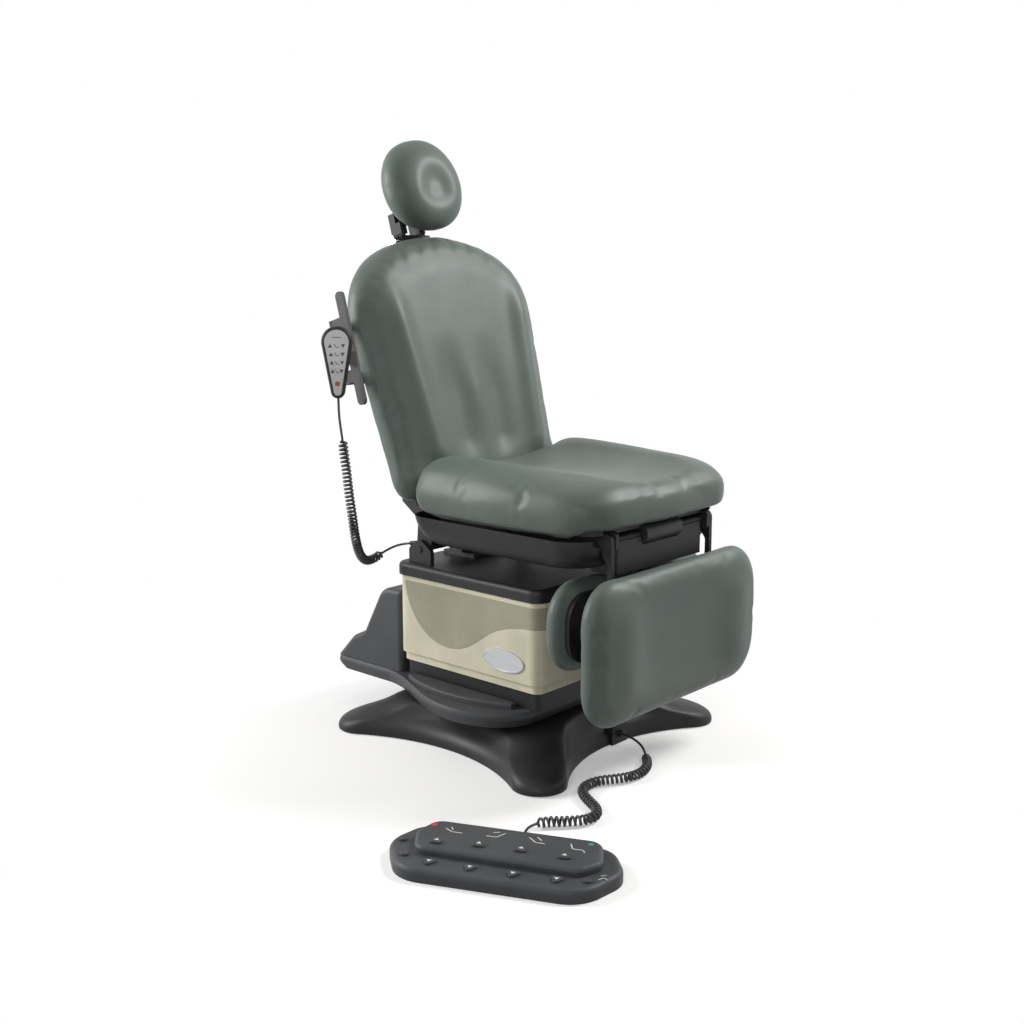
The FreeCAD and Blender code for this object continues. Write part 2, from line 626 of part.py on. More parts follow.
def make_head():
    plate_top = HEAD_Z + HEAD_PLATE_THICKNESS
    bracket_top = plate_top + 12
    cheek_x = RAIL_X + RAIL_WIDTH + EAR_THICKNESS + PART_GAP
    foot = box(-cheek_x - CHEEK_THICKNESS, cheek_x + CHEEK_THICKNESS, 110, 236, plate_top, bracket_top)
    points = [(TILT_Y - 40, bracket_top), (TILT_Y - 40, TILT_Z), (TILT_Y, TILT_Z + EAR_RADIUS + 2),
              (TILT_Y + 38, TILT_Z), (TILT_Y + 38, bracket_top)]
    cheek = side_plate(cheek_x, cheek_x + CHEEK_THICKNESS, points, [0, 14, 18, 14, 0])
    bore = rod(V(-400, TILT_Y, TILT_Z), X_AXIS, SHAFT_RADIUS + RUNNING_GAP, 800)
    save("tilt_bracket", union([foot] + both_sides(cheek)).cut(bore))

    cap_top = HEAD_Z + CAP_HEIGHT
    half = SHROUD_HALF_WIDTH + CAP_OVERHANG
    front = COLUMN_Y - SHROUD_HALF_LENGTH - CAP_OVERHANG
    rear = COLUMN_Y + SHROUD_HALF_LENGTH + CAP_REAR_OVERHANG
    cap = rounded_block(-half, half, front, rear, HEAD_Z, cap_top, SHROUD_RADIUS + CAP_OVERHANG)
    cap = cap.makeFillet(CAP_EDGE_RADIUS, [e for e in cap.Edges if e.BoundBox.ZMin > cap_top - 0.01])
    wall = CAP_OVERHANG
    room = rounded_block(-half + wall, half - wall, front + wall, rear - CAP_REAR_OVERHANG, HEAD_Z - 1, bracket_top,
                         SHROUD_RADIUS)
    slot = box(cheek_x - PART_GAP, cheek_x + CHEEK_THICKNESS + PART_GAP, TILT_Y - 42, TILT_Y + 40, HEAD_Z, cap_top + 1)
    window = box(-DRIVE_HALF_LENGTH - PART_GAP, DRIVE_HALF_LENGTH + PART_GAP, 118, 232, HEAD_Z, cap_top + 1)
    save("top_cap", cap.cut([room, window] + both_sides(slot)))

    housing = rod(V(-DRIVE_HALF_LENGTH, TILT_Y, TILT_Z), X_AXIS, DRIVE_RADIUS + 6, 2 * DRIVE_HALF_LENGTH)
    stand = box(-DRIVE_HALF_LENGTH, DRIVE_HALF_LENGTH, 120, 230, bracket_top, bracket_top + 20)
    neck = box(-DRIVE_HALF_LENGTH, DRIVE_HALF_LENGTH, TILT_Y - 22, TILT_Y + 22, bracket_top, TILT_Z)
    save("tilt_drive", union([housing, stand, neck]).cut(bore))


# Seat

def seat_outline(inset, z):
    front = SEAT_FRONT_Y + inset
    rear = SEAT_REAR_Y - inset
    half = SEAT_HALF_WIDTH - inset
    bow = 16.0
    rear_bow = 6.0
    points = [V(0, front, z), V(half - bow, front + bow, z), V(half, (front + rear) / 2, z)]
    points += [V(half - rear_bow, rear, z), V(-half + rear_bow, rear, z), V(-half, (front + rear) / 2, z)]
    points += [V(-half + bow, front + bow, z)]
    front_radius = 120 - inset * 0.4
    rear_radius = 44 - inset * 0.2
    radii = [600, front_radius, 900, rear_radius, rear_radius, 900, front_radius]
    return rounded_polygon(points, radii)


def make_seat():
    levels = [(0, 26), (0.09, 8), (0.36, 0), (0.68, 9), (0.89, 40), (1.0, 105)]
    pad = loft([seat_outline(inset, SEAT_SKIRT_Z + share * SEAT_HEIGHT) for share, inset in levels])
    channel_z = SEAT_SKIRT_Z + SEAT_HEIGHT - SEAT_SADDLE_DEPTH
    saddle = rod(V(0, SEAT_FRONT_Y - 50, channel_z + SEAT_SADDLE_RADIUS), Y_AXIS, SEAT_SADDLE_RADIUS, 800)
    underside = box(-SEAT_SKIRT_X, SEAT_SKIRT_X, SEAT_FRONT_Y - 1, SEAT_REAR_Y - SEAT_SKIRT_WALL, SEAT_SKIRT_Z - 1,
                    SEAT_BOTTOM_Z)
    save("seat_cushion", pad.cut([saddle, underside]))

    rail_out = RAIL_X + RAIL_WIDTH
    rail_front = FRONT_COVER_REAR_Y + 6
    rail = box(RAIL_X, rail_out, rail_front, 200, RAIL_BOTTOM_Z, RAIL_TOP_Z)
    ear_out = rail_out + EAR_THICKNESS
    tilt_ear = side_plate(rail_out, ear_out, [(TILT_Y - 50, RAIL_TOP_Z), (TILT_Y - 24, TILT_Z - 4),
                                              (TILT_Y, TILT_Z - EAR_RADIUS - 3), (TILT_Y + 24, TILT_Z - 4),
                                              (TILT_Y + 14, RAIL_TOP_Z)], [0, 20, 14, 20, 0])
    back_ear = side_plate(rail_out, ear_out, [(150, RAIL_BOTTOM_Z), (200, RAIL_BOTTOM_Z), (262, 588), (258, 622),
                                              (222, 618), (205, RAIL_TOP_Z), (150, RAIL_TOP_Z)],
                          [0, 10, 12, 12, 12, 8, 0])
    leg_ear = side_plate(rail_out, ear_out, [(-290, RAIL_BOTTOM_Z), (-290, RAIL_TOP_Z), (LEG_HINGE_Y + 8, 599),
                                             (LEG_HINGE_Y - 22, 597), (LEG_HINGE_Y - 22, 552),
                                             (LEG_HINGE_Y + 20, RAIL_BOTTOM_Z)], [0, 10, 10, 12, 12, 6])
    board_bottom = SEAT_BOTTOM_Z - SEAT_BOARD_THICKNESS
    board = rounded_block(-SEAT_HALF_WIDTH + 60, SEAT_HALF_WIDTH - 60, SEAT_FRONT_Y + 50, SEAT_REAR_Y - 34, board_bottom,
                          SEAT_BOTTOM_Z, 60)
    drive_room = box(-DRIVE_HALF_LENGTH - 4, DRIVE_HALF_LENGTH + 4, -600, LEG_HINGE_Y + DRIVE_RADIUS + 4, 0, 900)
    ear_room = box(rail_out - 4, ear_out + 24, -600, LEG_HINGE_Y + 40, 0, 900)
    board = board.cut([drive_room] + both_sides(ear_room))
    risers = [box(RAIL_X, rail_out, y, y + 40, RAIL_TOP_Z, board_bottom) for y in (-330, -140, 40)]
    cross = [box(-RAIL_X, RAIL_X, y, y + 30, RAIL_BOTTOM_Z, RAIL_TOP_Z) for y in (rail_front, -160, 150)]
    shaft_reach = ear_out + PART_GAP + CHEEK_THICKNESS + 3
    shaft = rod(V(-shaft_reach, TILT_Y, TILT_Z), X_AXIS, SHAFT_RADIUS, 2 * shaft_reach)
    pieces = [board] + cross
    for piece in [rail, tilt_ear, back_ear, leg_ear] + risers:
        pieces += both_sides(piece)
    bores = [rod(V(-400, y, z), X_AXIS, SHAFT_RADIUS + RUNNING_GAP, 800)
             for y, z in ((BACK_HINGE_Y, BACK_HINGE_Z), (LEG_HINGE_Y, LEG_HINGE_Z))]
    frame = union([union(pieces).cut(bores), shaft])
    save("seat_frame", frame)

    def pan_wire(inset, rise, half, front, rear, z):
        return rounded_polygon(rectangle(-half + inset, half - inset, front + inset, rear - inset, z + rise),
                               [84 - inset, 84 - inset, 60 - inset, 60 - inset])

    def pan_form(inset, rise):
        low = pan_wire(inset, rise, *PAN_LOW, PAN_BOTTOM_Z)
        bend = pan_wire(inset, rise, *PAN_BEND, PAN_BOTTOM_Z + 24)
        high = pan_wire(inset, rise, *PAN_HIGH, board_bottom - 12)
        return loft([low, bend, high])

    cover_room = front_cover_form(PART_GAP / 2)
    rail_room = box(RAIL_X - 2, ear_out + 2, 90, 300, RAIL_BOTTOM_Z - 2, 900)
    cross_room = box(-RAIL_X, RAIL_X, 140, 300, RAIL_BOTTOM_Z - 2, 900)
    front_room = box(rail_out - 2, ear_out + 24, -600, -280, RAIL_BOTTOM_Z - 2, 900)
    bracket_room = box(-DRIVE_HALF_LENGTH, DRIVE_HALF_LENGTH, -600, rail_front, RAIL_BOTTOM_Z, 900)
    pan = pan_form(0, 0).cut([pan_form(PAN_WALL, PAN_WALL), cover_room] + both_sides(rail_room))
    shaft_room = rod(V(-400, LEG_HINGE_Y, LEG_HINGE_Z), X_AXIS, SHAFT_RADIUS + PART_GAP, 800)
    pan = pan.cut([cross_room, bracket_room, shaft_room] + both_sides(front_room))
    hangers = [box(RAIL_X + 4, rail_out - 4, y, y + 16, PAN_BOTTOM_Z + PAN_WALL - 1, RAIL_BOTTOM_Z)
               for y in (-250, 20)]
    pieces = [pan]
    for hanger in hangers:
        pieces += both_sides(hanger)
    save("seat_pan", union(pieces))
    cover = front_cover_form(0)
    room = box(-FRONT_COVER_HALF_WIDTH + 4, FRONT_COVER_HALF_WIDTH - 4, FRONT_COVER_FRONT_Y + 4, FRONT_COVER_REAR_Y + 1,
               FRONT_COVER_BOTTOM_Z + 4, FRONT_COVER_TOP_Z + 1)
    tab_reach = FRONT_COVER_HALF_WIDTH - 3
    tabs = [box(x, x + 8, FRONT_COVER_REAR_Y - 20, rail_front, RAIL_BOTTOM_Z, FRONT_COVER_TOP_Z - 4)
            for x in (-tab_reach, tab_reach - 8)]
    save("front_cover", union([cover.cut([room, leg_drive_room(), shaft_room])] + tabs))
    save("back_drive", hinge_drive(BACK_HINGE_Y, BACK_HINGE_Z, 180))
    save("leg_drive", hinge_drive(LEG_HINGE_Y, LEG_HINGE_Z, rail_front))
    end = HAND_ROUTE[-1]
    inward = (end - HAND_ROUTE[-2]).normalize()
    socket = rod(end, inward, HAND_SOCKET_RADIUS, SOCKET_LENGTH + 8)
    save("hand_cord_socket", socket.cut(frame))


def front_cover_form(grow):
    half = FRONT_COVER_HALF_WIDTH + grow
    return rounded_block(-half, half, FRONT_COVER_FRONT_Y - grow, FRONT_COVER_REAR_Y + grow, FRONT_COVER_BOTTOM_Z - grow,
                         FRONT_COVER_TOP_Z + grow, 10)


def leg_drive_room():
    return rod(V(-DRIVE_HALF_LENGTH - 2, LEG_HINGE_Y, LEG_HINGE_Z), X_AXIS, DRIVE_RADIUS + 2, 2 * DRIVE_HALF_LENGTH + 4)


def hinge_drive(y, z, rail_face):
    # A gear motor round a hinge shaft, on a bracket from the frame's cross rail.
    housing = rod(V(-DRIVE_HALF_LENGTH, y, z), X_AXIS, DRIVE_RADIUS, 2 * DRIVE_HALF_LENGTH)
    low_y = min(y, rail_face)
    high_y = max(y, rail_face)
    bracket = box(-DRIVE_HALF_LENGTH + 20, DRIVE_HALF_LENGTH - 20, low_y, high_y, RAIL_BOTTOM_Z + 8, RAIL_TOP_Z - 2)
    bore = rod(V(-400, y, z), X_AXIS, SHAFT_RADIUS + RUNNING_GAP, 800)
    return union([housing, bracket]).cut(bore)


# Back, in its upright drawing: X across, Y depth from the front face, Z up the back

def tombstone(inset, depth):
    top = BACK_TOP - inset
    shoulder_half = BACK_SHOULDER_HALF - inset
    bottom_half = BACK_BOTTOM_HALF - inset
    bottom = BACK_BOTTOM + inset
    side = math.atan2(shoulder_half - bottom_half, BACK_SHOULDER - bottom)
    first = math.radians(BACK_ARCH_ANGLE) / 2
    second = (math.radians(BACK_ARCH_ANGLE) + math.pi / 2 + side) / 2
    rise = top - BACK_SHOULDER
    scale = math.cos(first) * math.sin(second) - math.cos(second) * math.sin(first)
    first_chord = (shoulder_half * math.sin(second) - rise * math.cos(second)) / scale
    second_chord = (rise * math.cos(first) - shoulder_half * math.sin(first)) / scale
    haunch = V(first_chord * math.cos(first), depth, top - first_chord * math.sin(first))
    middle_angle = (math.radians(BACK_ARCH_ANGLE) + second) / 2
    half_turn = second - math.radians(BACK_ARCH_ANGLE)
    middle_chord = second_chord / (2 * math.cos(half_turn / 2))
    side_middle = haunch + V(middle_chord * math.cos(middle_angle), 0, -middle_chord * math.sin(middle_angle))
    shoulder = V(shoulder_half, depth, BACK_SHOULDER)
    corner = max(46 - inset * 0.3, 10)
    low_in = V(bottom_half - corner, depth, bottom)
    low_out = V(bottom_half + math.sin(side) * corner, depth, bottom + corner)
    bend = V(bottom_half - corner * 0.27, depth, bottom + corner * 0.29)
    left = [V(-p.x, depth, p.z) for p in (haunch, side_middle, shoulder, low_out, bend, low_in)]
    edges = [Part.Arc(left[0], V(0, depth, top), haunch).toShape(), Part.Arc(haunch, side_middle, shoulder).toShape(),
             Part.LineSegment(shoulder, low_out).toShape(), Part.Arc(low_out, bend, low_in).toShape(),
             Part.LineSegment(low_in, left[5]).toShape(), Part.Arc(left[5], left[4], left[3]).toShape(),
             Part.LineSegment(left[3], left[2]).toShape(), Part.Arc(left[2], left[1], left[0]).toShape()]
    return Part.Wire(edges)


def make_back():
    levels = [(1.0, 12), (0.87, 1), (0.6, 0), (0.3, 8), (0.1, 34), (0.0, 84)]
    pad = loft([tombstone(inset, share * BACK_THICKNESS) for share, inset in levels])
    channel_start = V(0, BACK_CHANNEL_DEPTH - BACK_CHANNEL_RADIUS, BACK_BOTTOM - 20)
    channel = rod(channel_start, V(0, -BACK_CHANNEL_FADE, 1), BACK_CHANNEL_RADIUS, BACK_TOP)
    save("back_cushion", lean_back(pad.cut(channel)))

    shell_back = BACK_THICKNESS + BACK_SHELL_THICKNESS
    shell = loft([tombstone(BACK_SHELL_INSET, BACK_THICKNESS), tombstone(BACK_SHELL_INSET + 6, shell_back)])
    save("back_shell", lean_back(shell))

    bar_out = RAIL_X + BACK_BAR_WIDTH
    bar = box(RAIL_X, bar_out, shell_back, shell_back + BACK_BAR_DEPTH, 0, BACK_BAR_TOP)
    eye = rod(V(RAIL_X, HINGE_DEPTH, 0), X_AXIS, 21, BACK_BAR_WIDTH)
    web = box(RAIL_X, bar_out, shell_back, HINGE_DEPTH + 12, 0, 60)
    shaft_reach = RAIL_X + RAIL_WIDTH + EAR_THICKNESS + 6
    shaft = rod(V(-shaft_reach, HINGE_DEPTH, 0), X_AXIS, SHAFT_RADIUS, 2 * shaft_reach)
    cross = [box(-RAIL_X, RAIL_X, shell_back, shell_back + 18, z, z + 30) for z in (130, 300, 470)]
    guide_half = POST_SPACING + 16
    guide = box(-guide_half, guide_half, shell_back + 1, GUIDE_REAR, GUIDE_LOW, GUIDE_HIGH)
    spine = box(-24, 24, shell_back, shell_back + 18, 470, GUIDE_LOW)
    posts = [rod(V(x, POST_DEPTH, 100), Z_AXIS, POST_RADIUS + RUNNING_GAP, 900) for x in (-POST_SPACING, POST_SPACING)]
    knob_hole = rod(V(-100, KNOB_DEPTH, KNOB_HEIGHT), X_AXIS, 4 + RUNNING_GAP, 100 - POST_SPACING - 8)
    pieces = [shaft, guide, spine] + cross
    for piece in (bar, eye, web):
        pieces += both_sides(piece)
    save("back_frame", lean_back(union(pieces).cut(posts + [knob_hole])))

    rail_bar = rounded_rail()
    arms = []
    for z in (RAIL_BAR_LOW + 60, RAIL_BAR_HIGH - 90):
        outer = -RAIL_BAR_X - RAIL_BAR_THICKNESS
        arms.append(box(outer, -bar_out, shell_back, shell_back + 8, z, z + RAIL_ARM_HEIGHT))
        arms.append(box(outer + 1, -RAIL_BAR_X, RAIL_BAR_DEPTH + 5, shell_back + 8, z, z + RAIL_ARM_HEIGHT))
    save("accessory_rail", union([lean_back(union([rail_bar] + arms)), control_holder()]))


def rounded_rail():
    x = -RAIL_BAR_X - RAIL_BAR_THICKNESS
    points = [V(x, RAIL_BAR_DEPTH, RAIL_BAR_LOW), V(x, RAIL_BAR_DEPTH + RAIL_BAR_WIDTH, RAIL_BAR_LOW)]
    points += [V(x, RAIL_BAR_DEPTH + RAIL_BAR_WIDTH, RAIL_BAR_HIGH), V(x, RAIL_BAR_DEPTH, RAIL_BAR_HIGH)]
    return plate(points, [RAIL_BAR_WIDTH / 2 - 1] * 4, V(RAIL_BAR_THICKNESS, 0, 0))


def control_holder():
    # The clip between the rail's outer face and the back of the hand control.
    centre_z = HAND_TOP_Z - HAND_TOP_RADIUS - 40
    reach = box(-RAIL_BAR_X - RAIL_BAR_THICKNESS - 26, -RAIL_BAR_X - RAIL_BAR_THICKNESS + 1, HAND_Y - 14, HAND_Y + 12,
                centre_z - 16, centre_z + 16)
    return reach.cut(turned_hand(hand_form(0, 0, HAND_THICKNESS)))


def hand_form(inset, low, high):
    # A teardrop drawn in the XZ plane, wide end up, with its face towards -Y.
    top = V(0, low, -HAND_TOP_RADIUS)
    tail = V(0, low, -HAND_LENGTH + HAND_TAIL_RADIUS)
    big = HAND_TOP_RADIUS - inset
    small = HAND_TAIL_RADIUS - inset
    spread = math.asin((big - small) / (top.z - tail.z))
    side = V(math.cos(spread), 0, math.sin(spread) * -1)
    ends = [top + side * big, tail + side * small]
    mirrored = [V(-p.x, low, p.z) for p in ends]
    edges = [Part.Arc(ends[0], top + V(0, 0, big), mirrored[0]).toShape(),
             Part.LineSegment(mirrored[0], mirrored[1]).toShape(),
             Part.Arc(mirrored[1], tail - V(0, 0, small), ends[1]).toShape(),
             Part.LineSegment(ends[1], ends[0]).toShape()]
    return Part.Face(Part.Wire(edges)).extrude(V(0, high - low, 0))


def turned_hand(shape):
    turned = shape.copy()
    turned.translate(V(0, -HAND_THICKNESS / 2, 0))
    turned.rotate(V(0, 0, 0), Z_AXIS, HAND_TURN)
    turned.translate(V(HAND_X, HAND_Y, HAND_TOP_Z))
    return turned


def make_hand_control():
    body = hand_form(0, 0, HAND_THICKNESS)
    rims = [e for e in body.Edges if e.BoundBox.YLength < 0.01]
    body = body.makeFillet(7.0, rims)
    face = hand_form(FACE_MARGIN, -FACE_THICKNESS, 0)
    save("hand_control_body", turned_hand(body))
    save("hand_control_face", turned_hand(face))


# Headrest, in the back's upright drawing

def egg_wire(inset, depth):
    half = HEAD_HALF_WIDTH - inset
    low = HEAD_LOW + inset
    high = HEAD_LOW + HEAD_HEIGHT - inset
    wide = HEAD_LOW + HEAD_HEIGHT * 0.46
    upper = V(half * 0.70, depth, wide + (high - wide) * 0.74)
    lower = V(half * 0.76, depth, wide - (wide - low) * 0.70)
    right = V(half, depth, wide)
    curve = Part.BSplineCurve()
    loop = [V(0, depth, high), upper, right, lower, V(0, depth, low), V(-lower.x, depth, lower.z),
            V(-right.x, depth, right.z), V(-upper.x, depth, upper.z)]
    curve.interpolate(loop, True)
    return Part.Wire([curve.toShape()])


def make_headrest():
    levels = [(1.0, 44), (0.86, 16), (0.55, 0), (0.24, 14), (0.06, 46), (0.0, 76)]
    pad = loft([egg_wire(inset, HEAD_FRONT + share * HEAD_THICKNESS) for share, inset in levels])
    centre_z = HEAD_LOW + HEAD_HEIGHT * 0.52
    dimple = Part.makeSphere(HEAD_DIMPLE_RADIUS, V(0, HEAD_FRONT - HEAD_DIMPLE_RADIUS + HEAD_DIMPLE_DEPTH, centre_z))
    save("headrest_cushion", lean_back(pad.cut(dimple)))
    back = HEAD_FRONT + HEAD_THICKNESS
    shell = loft([egg_wire(50, back), egg_wire(56, back + HEAD_SHELL_THICKNESS)])
    lug = side_plate(12, 20, [(back + 4, HEAD_PIN_HEIGHT - 18), (HEAD_PIN_DEPTH + 14, HEAD_PIN_HEIGHT - 14),
                              (HEAD_PIN_DEPTH + 14, HEAD_PIN_HEIGHT + 14), (back + 4, HEAD_PIN_HEIGHT + 22)], [0, 10, 10, 0])
    pin_bore = rod(V(-100, HEAD_PIN_DEPTH, HEAD_PIN_HEIGHT), X_AXIS, 5 + RUNNING_GAP, 200)
    save("headrest_shell", lean_back(union([shell] + both_sides(lug)).cut(pin_bore)))

    rods = [rod(V(x, POST_DEPTH, POST_LOW), Z_AXIS, POST_RADIUS, POST_HIGH - POST_LOW)
            for x in (-POST_SPACING, POST_SPACING)]
    bridge = []
    for x0, x1 in ((-POST_SPACING - 8, -22), (22, POST_SPACING + 8)):
        bridge.append(box(x0, x1, POST_DEPTH - POST_RADIUS + 2, HEAD_PIN_DEPTH + 8, POST_HIGH - 30, POST_HIGH))
        bridge.append(box(x0, x1, HEAD_PIN_DEPTH - 14, HEAD_PIN_DEPTH + 8, POST_HIGH, HEAD_PIN_HEIGHT + 12))
    pin = rod(V(-POST_SPACING, HEAD_PIN_DEPTH, HEAD_PIN_HEIGHT), X_AXIS, 5, 2 * POST_SPACING)
    save("headrest_post", lean_back(union(rods + bridge + [pin])))
    knob_start = V(-POST_SPACING - 16 - KNOB_LENGTH - SLIDING_GAP, KNOB_DEPTH, KNOB_HEIGHT)
    grip = rod(knob_start, X_AXIS, KNOB_RADIUS, KNOB_LENGTH)
    lobes = [rod(knob_start + V(0, KNOB_RADIUS * math.cos(a), KNOB_RADIUS * math.sin(a)), X_AXIS, KNOB_LOBE, KNOB_LENGTH)
             for a in [k * math.pi / 3 for k in range(6)]]
    screw = rod(knob_start, X_AXIS, 4, KNOB_LENGTH + SLIDING_GAP + 7)
    save("headrest_knob", lean_back(union([grip, screw] + lobes)))


# Leg rest and footrest

def upright_outline(inset, half_width, low, high, radius, y):
    half = half_width - inset
    points = [V(-half, y, low + inset), V(half, y, low + inset), V(half, y, high - inset), V(-half, y, high - inset)]
    return rounded_polygon(points, [max(radius - inset, 20)] * 4)


def make_leg():
    levels = [(1.0, 30), (0.88, 8), (0.55, 0), (0.25, 8), (0.07, 36), (0.0, 72)]
    wires = [upright_outline(inset, LEG_HALF_WIDTH, LEG_LOW_Z, LEG_HIGH_Z, LEG_CORNER_RADIUS,
                             LEG_FRONT_Y + share * LEG_THICKNESS) for share, inset in levels]
    dish = rod(V(0, LEG_FRONT_Y + LEG_DISH_DEPTH - LEG_DISH_RADIUS, LEG_LOW_Z - 50), Z_AXIS, LEG_DISH_RADIUS,
               LEG_HIGH_Z - LEG_LOW_Z + 100)
    save("leg_cushion", loft(wires).cut(dish))

    board_front = LEG_FRONT_Y + LEG_THICKNESS + SOFT_GAP
    board_rear = board_front + BOARD_THICKNESS
    board_half = LEG_HALF_WIDTH - BOARD_INSET
    board_points = [V(-board_half, board_front, BOARD_LOW_Z), V(board_half, board_front, BOARD_LOW_Z),
                    V(board_half, board_front, LEG_HIGH_Z - 40), V(-board_half, board_front, LEG_HIGH_Z - 40)]
    board = plate(board_points, [40] * 4, V(0, BOARD_THICKNESS, 0))
    arm_x = RAIL_X + RAIL_WIDTH + EAR_THICKNESS + PART_GAP
    arm = side_plate(arm_x, arm_x + ARM_WIDTH, [(LEG_HINGE_Y - 20, LEG_HINGE_Z + 20), (LEG_HINGE_Y - 20, LEG_HINGE_Z - 20),
                                                (board_front, LEG_HIGH_Z + 10), (board_front, 400), (board_rear, 400),
                                                (board_rear, LEG_HIGH_Z + 16), (LEG_HINGE_Y + 20, LEG_HINGE_Z - 10),
                                                (LEG_HINGE_Y + 20, LEG_HINGE_Z + 20)],
                     [18, 0, 0, 0, 0, 10, 12, 18])
    shaft_reach = arm_x + ARM_WIDTH
    shaft = rod(V(-shaft_reach, LEG_HINGE_Y, LEG_HINGE_Z), X_AXIS, SHAFT_RADIUS, 2 * shaft_reach)
    lug = side_plate(FOOT_PIN_X, FOOT_PIN_X + 8, [(board_front, BOARD_LOW_Z + 30), (board_front, BOARD_LOW_Z + 2),
                                                  (FOOT_PIN_Y - 9, FOOT_PIN_Z - 9), (FOOT_PIN_Y + 9, FOOT_PIN_Z - 9),
                                                  (FOOT_PIN_Y + 9, FOOT_PIN_Z + 8), (board_rear, BOARD_LOW_Z + 30)],
                     [0, 0, 7, 7, 7, 0])
    pin_bore = rod(V(-400, FOOT_PIN_Y, FOOT_PIN_Z), X_AXIS, FOOT_PIN_RADIUS + RUNNING_GAP, 800)
    pieces = [board, shaft] + both_sides(arm) + both_sides(lug)
    save("leg_frame", union(pieces).cut(pin_bore))


def make_footrest():
    pad_front = FOOT_PLATE_FRONT_Y + FOOT_PLATE_THICKNESS
    levels = [(0.0, 14), (0.14, 4), (0.45, 0), (0.78, 10), (0.95, 28), (1.0, 50)]
    wires = [upright_outline(inset, FOOT_HALF_WIDTH, FOOT_LOW_Z, FOOT_HIGH_Z, FOOT_CORNER_RADIUS,
                             pad_front + share * FOOT_PAD_THICKNESS) for share, inset in levels]
    save("footrest_cushion", loft(wires))
    outline = upright_outline(FOOT_PLATE_INSET, FOOT_HALF_WIDTH, FOOT_LOW_Z, FOOT_HIGH_Z, FOOT_CORNER_RADIUS,
                              FOOT_PLATE_FRONT_Y)
    board = Part.Face(outline).extrude(V(0, FOOT_PLATE_THICKNESS, 0))
    arm_front = FOOT_PIN_Y - FOOT_ARM_THICKNESS / 2
    arm_rear = FOOT_PIN_Y + FOOT_ARM_THICKNESS / 2
    arm = box(FOOT_PIN_X - 14, FOOT_PIN_X - 2, arm_front, arm_rear, FOOT_PIN_Z, FOOT_BRIDGE_HIGH_Z)
    bridge = box(FOOT_PIN_X - 14, FOOT_PIN_X - 2, arm_rear, pad_front, FOOT_BRIDGE_LOW_Z, FOOT_BRIDGE_HIGH_Z)
    boss = rod(V(FOOT_PIN_X - 14, FOOT_PIN_Y, FOOT_PIN_Z), X_AXIS, FOOT_PIN_RADIUS + 4, 12)
    pin = rod(V(-FOOT_PIN_X - 8, FOOT_PIN_Y, FOOT_PIN_Z), X_AXIS, FOOT_PIN_RADIUS, 2 * FOOT_PIN_X + 16)
    save("footrest_plate", union([board, pin] + both_sides(arm) + both_sides(bridge) + both_sides(boss)))


# Foot control, drawn along X with its front towards -Y

def place_control(shape):
    placed = shape.copy()
    placed.rotate(V(0, 0, 0), Z_AXIS, CONTROL_TURN)
    placed.translate(V(CONTROL_X, CONTROL_Y, 0))
    return placed


def triangle(size, x, y, z, height, up):
    turn = 1 if up else -1
    points = [V(x - size * 0.9, y - turn * size * 0.6, z), V(x + size * 0.9, y - turn * size * 0.6, z),
              V(x, y + turn * size, z)]
    return plate(points, [6.0] * 3, V(0, 0, height))


def control_buttons():
    # Each button as name, place and a drawing function of fit and height span.
    buttons = []
    for i, (x, y) in enumerate(RAISE_ROW):
        buttons.append(("raise_button_%d" % (i + 1), x, y, CONTROL_TOP_Z, "up"))
    for i, (x, y) in enumerate(LOWER_ROW):
        buttons.append(("lower_button_%d" % (i + 1), x, y, CONTROL_STEP_Z, "down"))
    for i, (x, y) in enumerate(ROUND_PLACES):
        buttons.append(("round_button_%d" % (i + 1), x, y, CONTROL_STEP_Z, "round"))
    return buttons


def button_form(kind, x, y, z0, z1, fit):
    if kind == "round":
        return rod(V(x, y, z0), Z_AXIS, ROUND_BUTTON_RADIUS + fit, z1 - z0)
    return triangle(BUTTON_SIZE + fit * 1.6, x, y, z0, z1 - z0, kind == "up")


def make_foot_control():
    half = CONTROL_HALF_LENGTH
    points = [V(-half + 60, CONTROL_FRONT, 0), V(half - 60, CONTROL_FRONT, 0), V(half, 12, 0),
              V(half - 45, CONTROL_REAR, 0), V(-half + 45, CONTROL_REAR, 0), V(-half, 12, 0)]
    lower = plate(points, [80, 80, 70, 60, 60, 70], V(0, 0, CONTROL_STEP_Z))
    lower = lower.makeFillet(12.0, [e for e in lower.Edges if e.BoundBox.ZMin > CONTROL_STEP_Z - 0.01])
    step = [V(-half + 76, -38, 0), V(half - 82, -42, 0), V(half - 44, 2, 0), V(half - 66, CONTROL_REAR - 12, 0),
            V(-half + 76, CONTROL_REAR - 12, 0), V(-half + 54, 34, 0)]
    upper = plate(step, [34, 34, 30, 34, 34, 34], V(0, 0, CONTROL_TOP_Z))
    upper = upper.makeFillet(10.0, [e for e in upper.Edges if e.BoundBox.ZMin > CONTROL_TOP_Z - 0.01])
    shell = union([lower, upper])
    pockets = []
    for name, x, y, surface, kind in control_buttons():
        pocket_floor = surface - BUTTON_POCKET
        pockets.append(button_form(kind, x, y, pocket_floor, surface + 30, BUTTON_FIT))
        button = button_form(kind, x, y, pocket_floor + BUTTON_TRAVEL + 0.5, surface + BUTTON_PROUD, 0)
        crown = [e for e in button.Edges if e.BoundBox.ZMin > surface + BUTTON_PROUD - 0.01]
        save(name, place_control(button.makeFillet(1.6, crown)))
    end = FOOT_ROUTE[-1]
    shell = place_control(shell.cut(pockets))
    direction = (FOOT_ROUTE[-2] - end).normalize()
    gland = rod(end, direction * -1, SOCKET_RADIUS, 40)
    save("foot_control_shell", union([shell, gland]))


# Cords

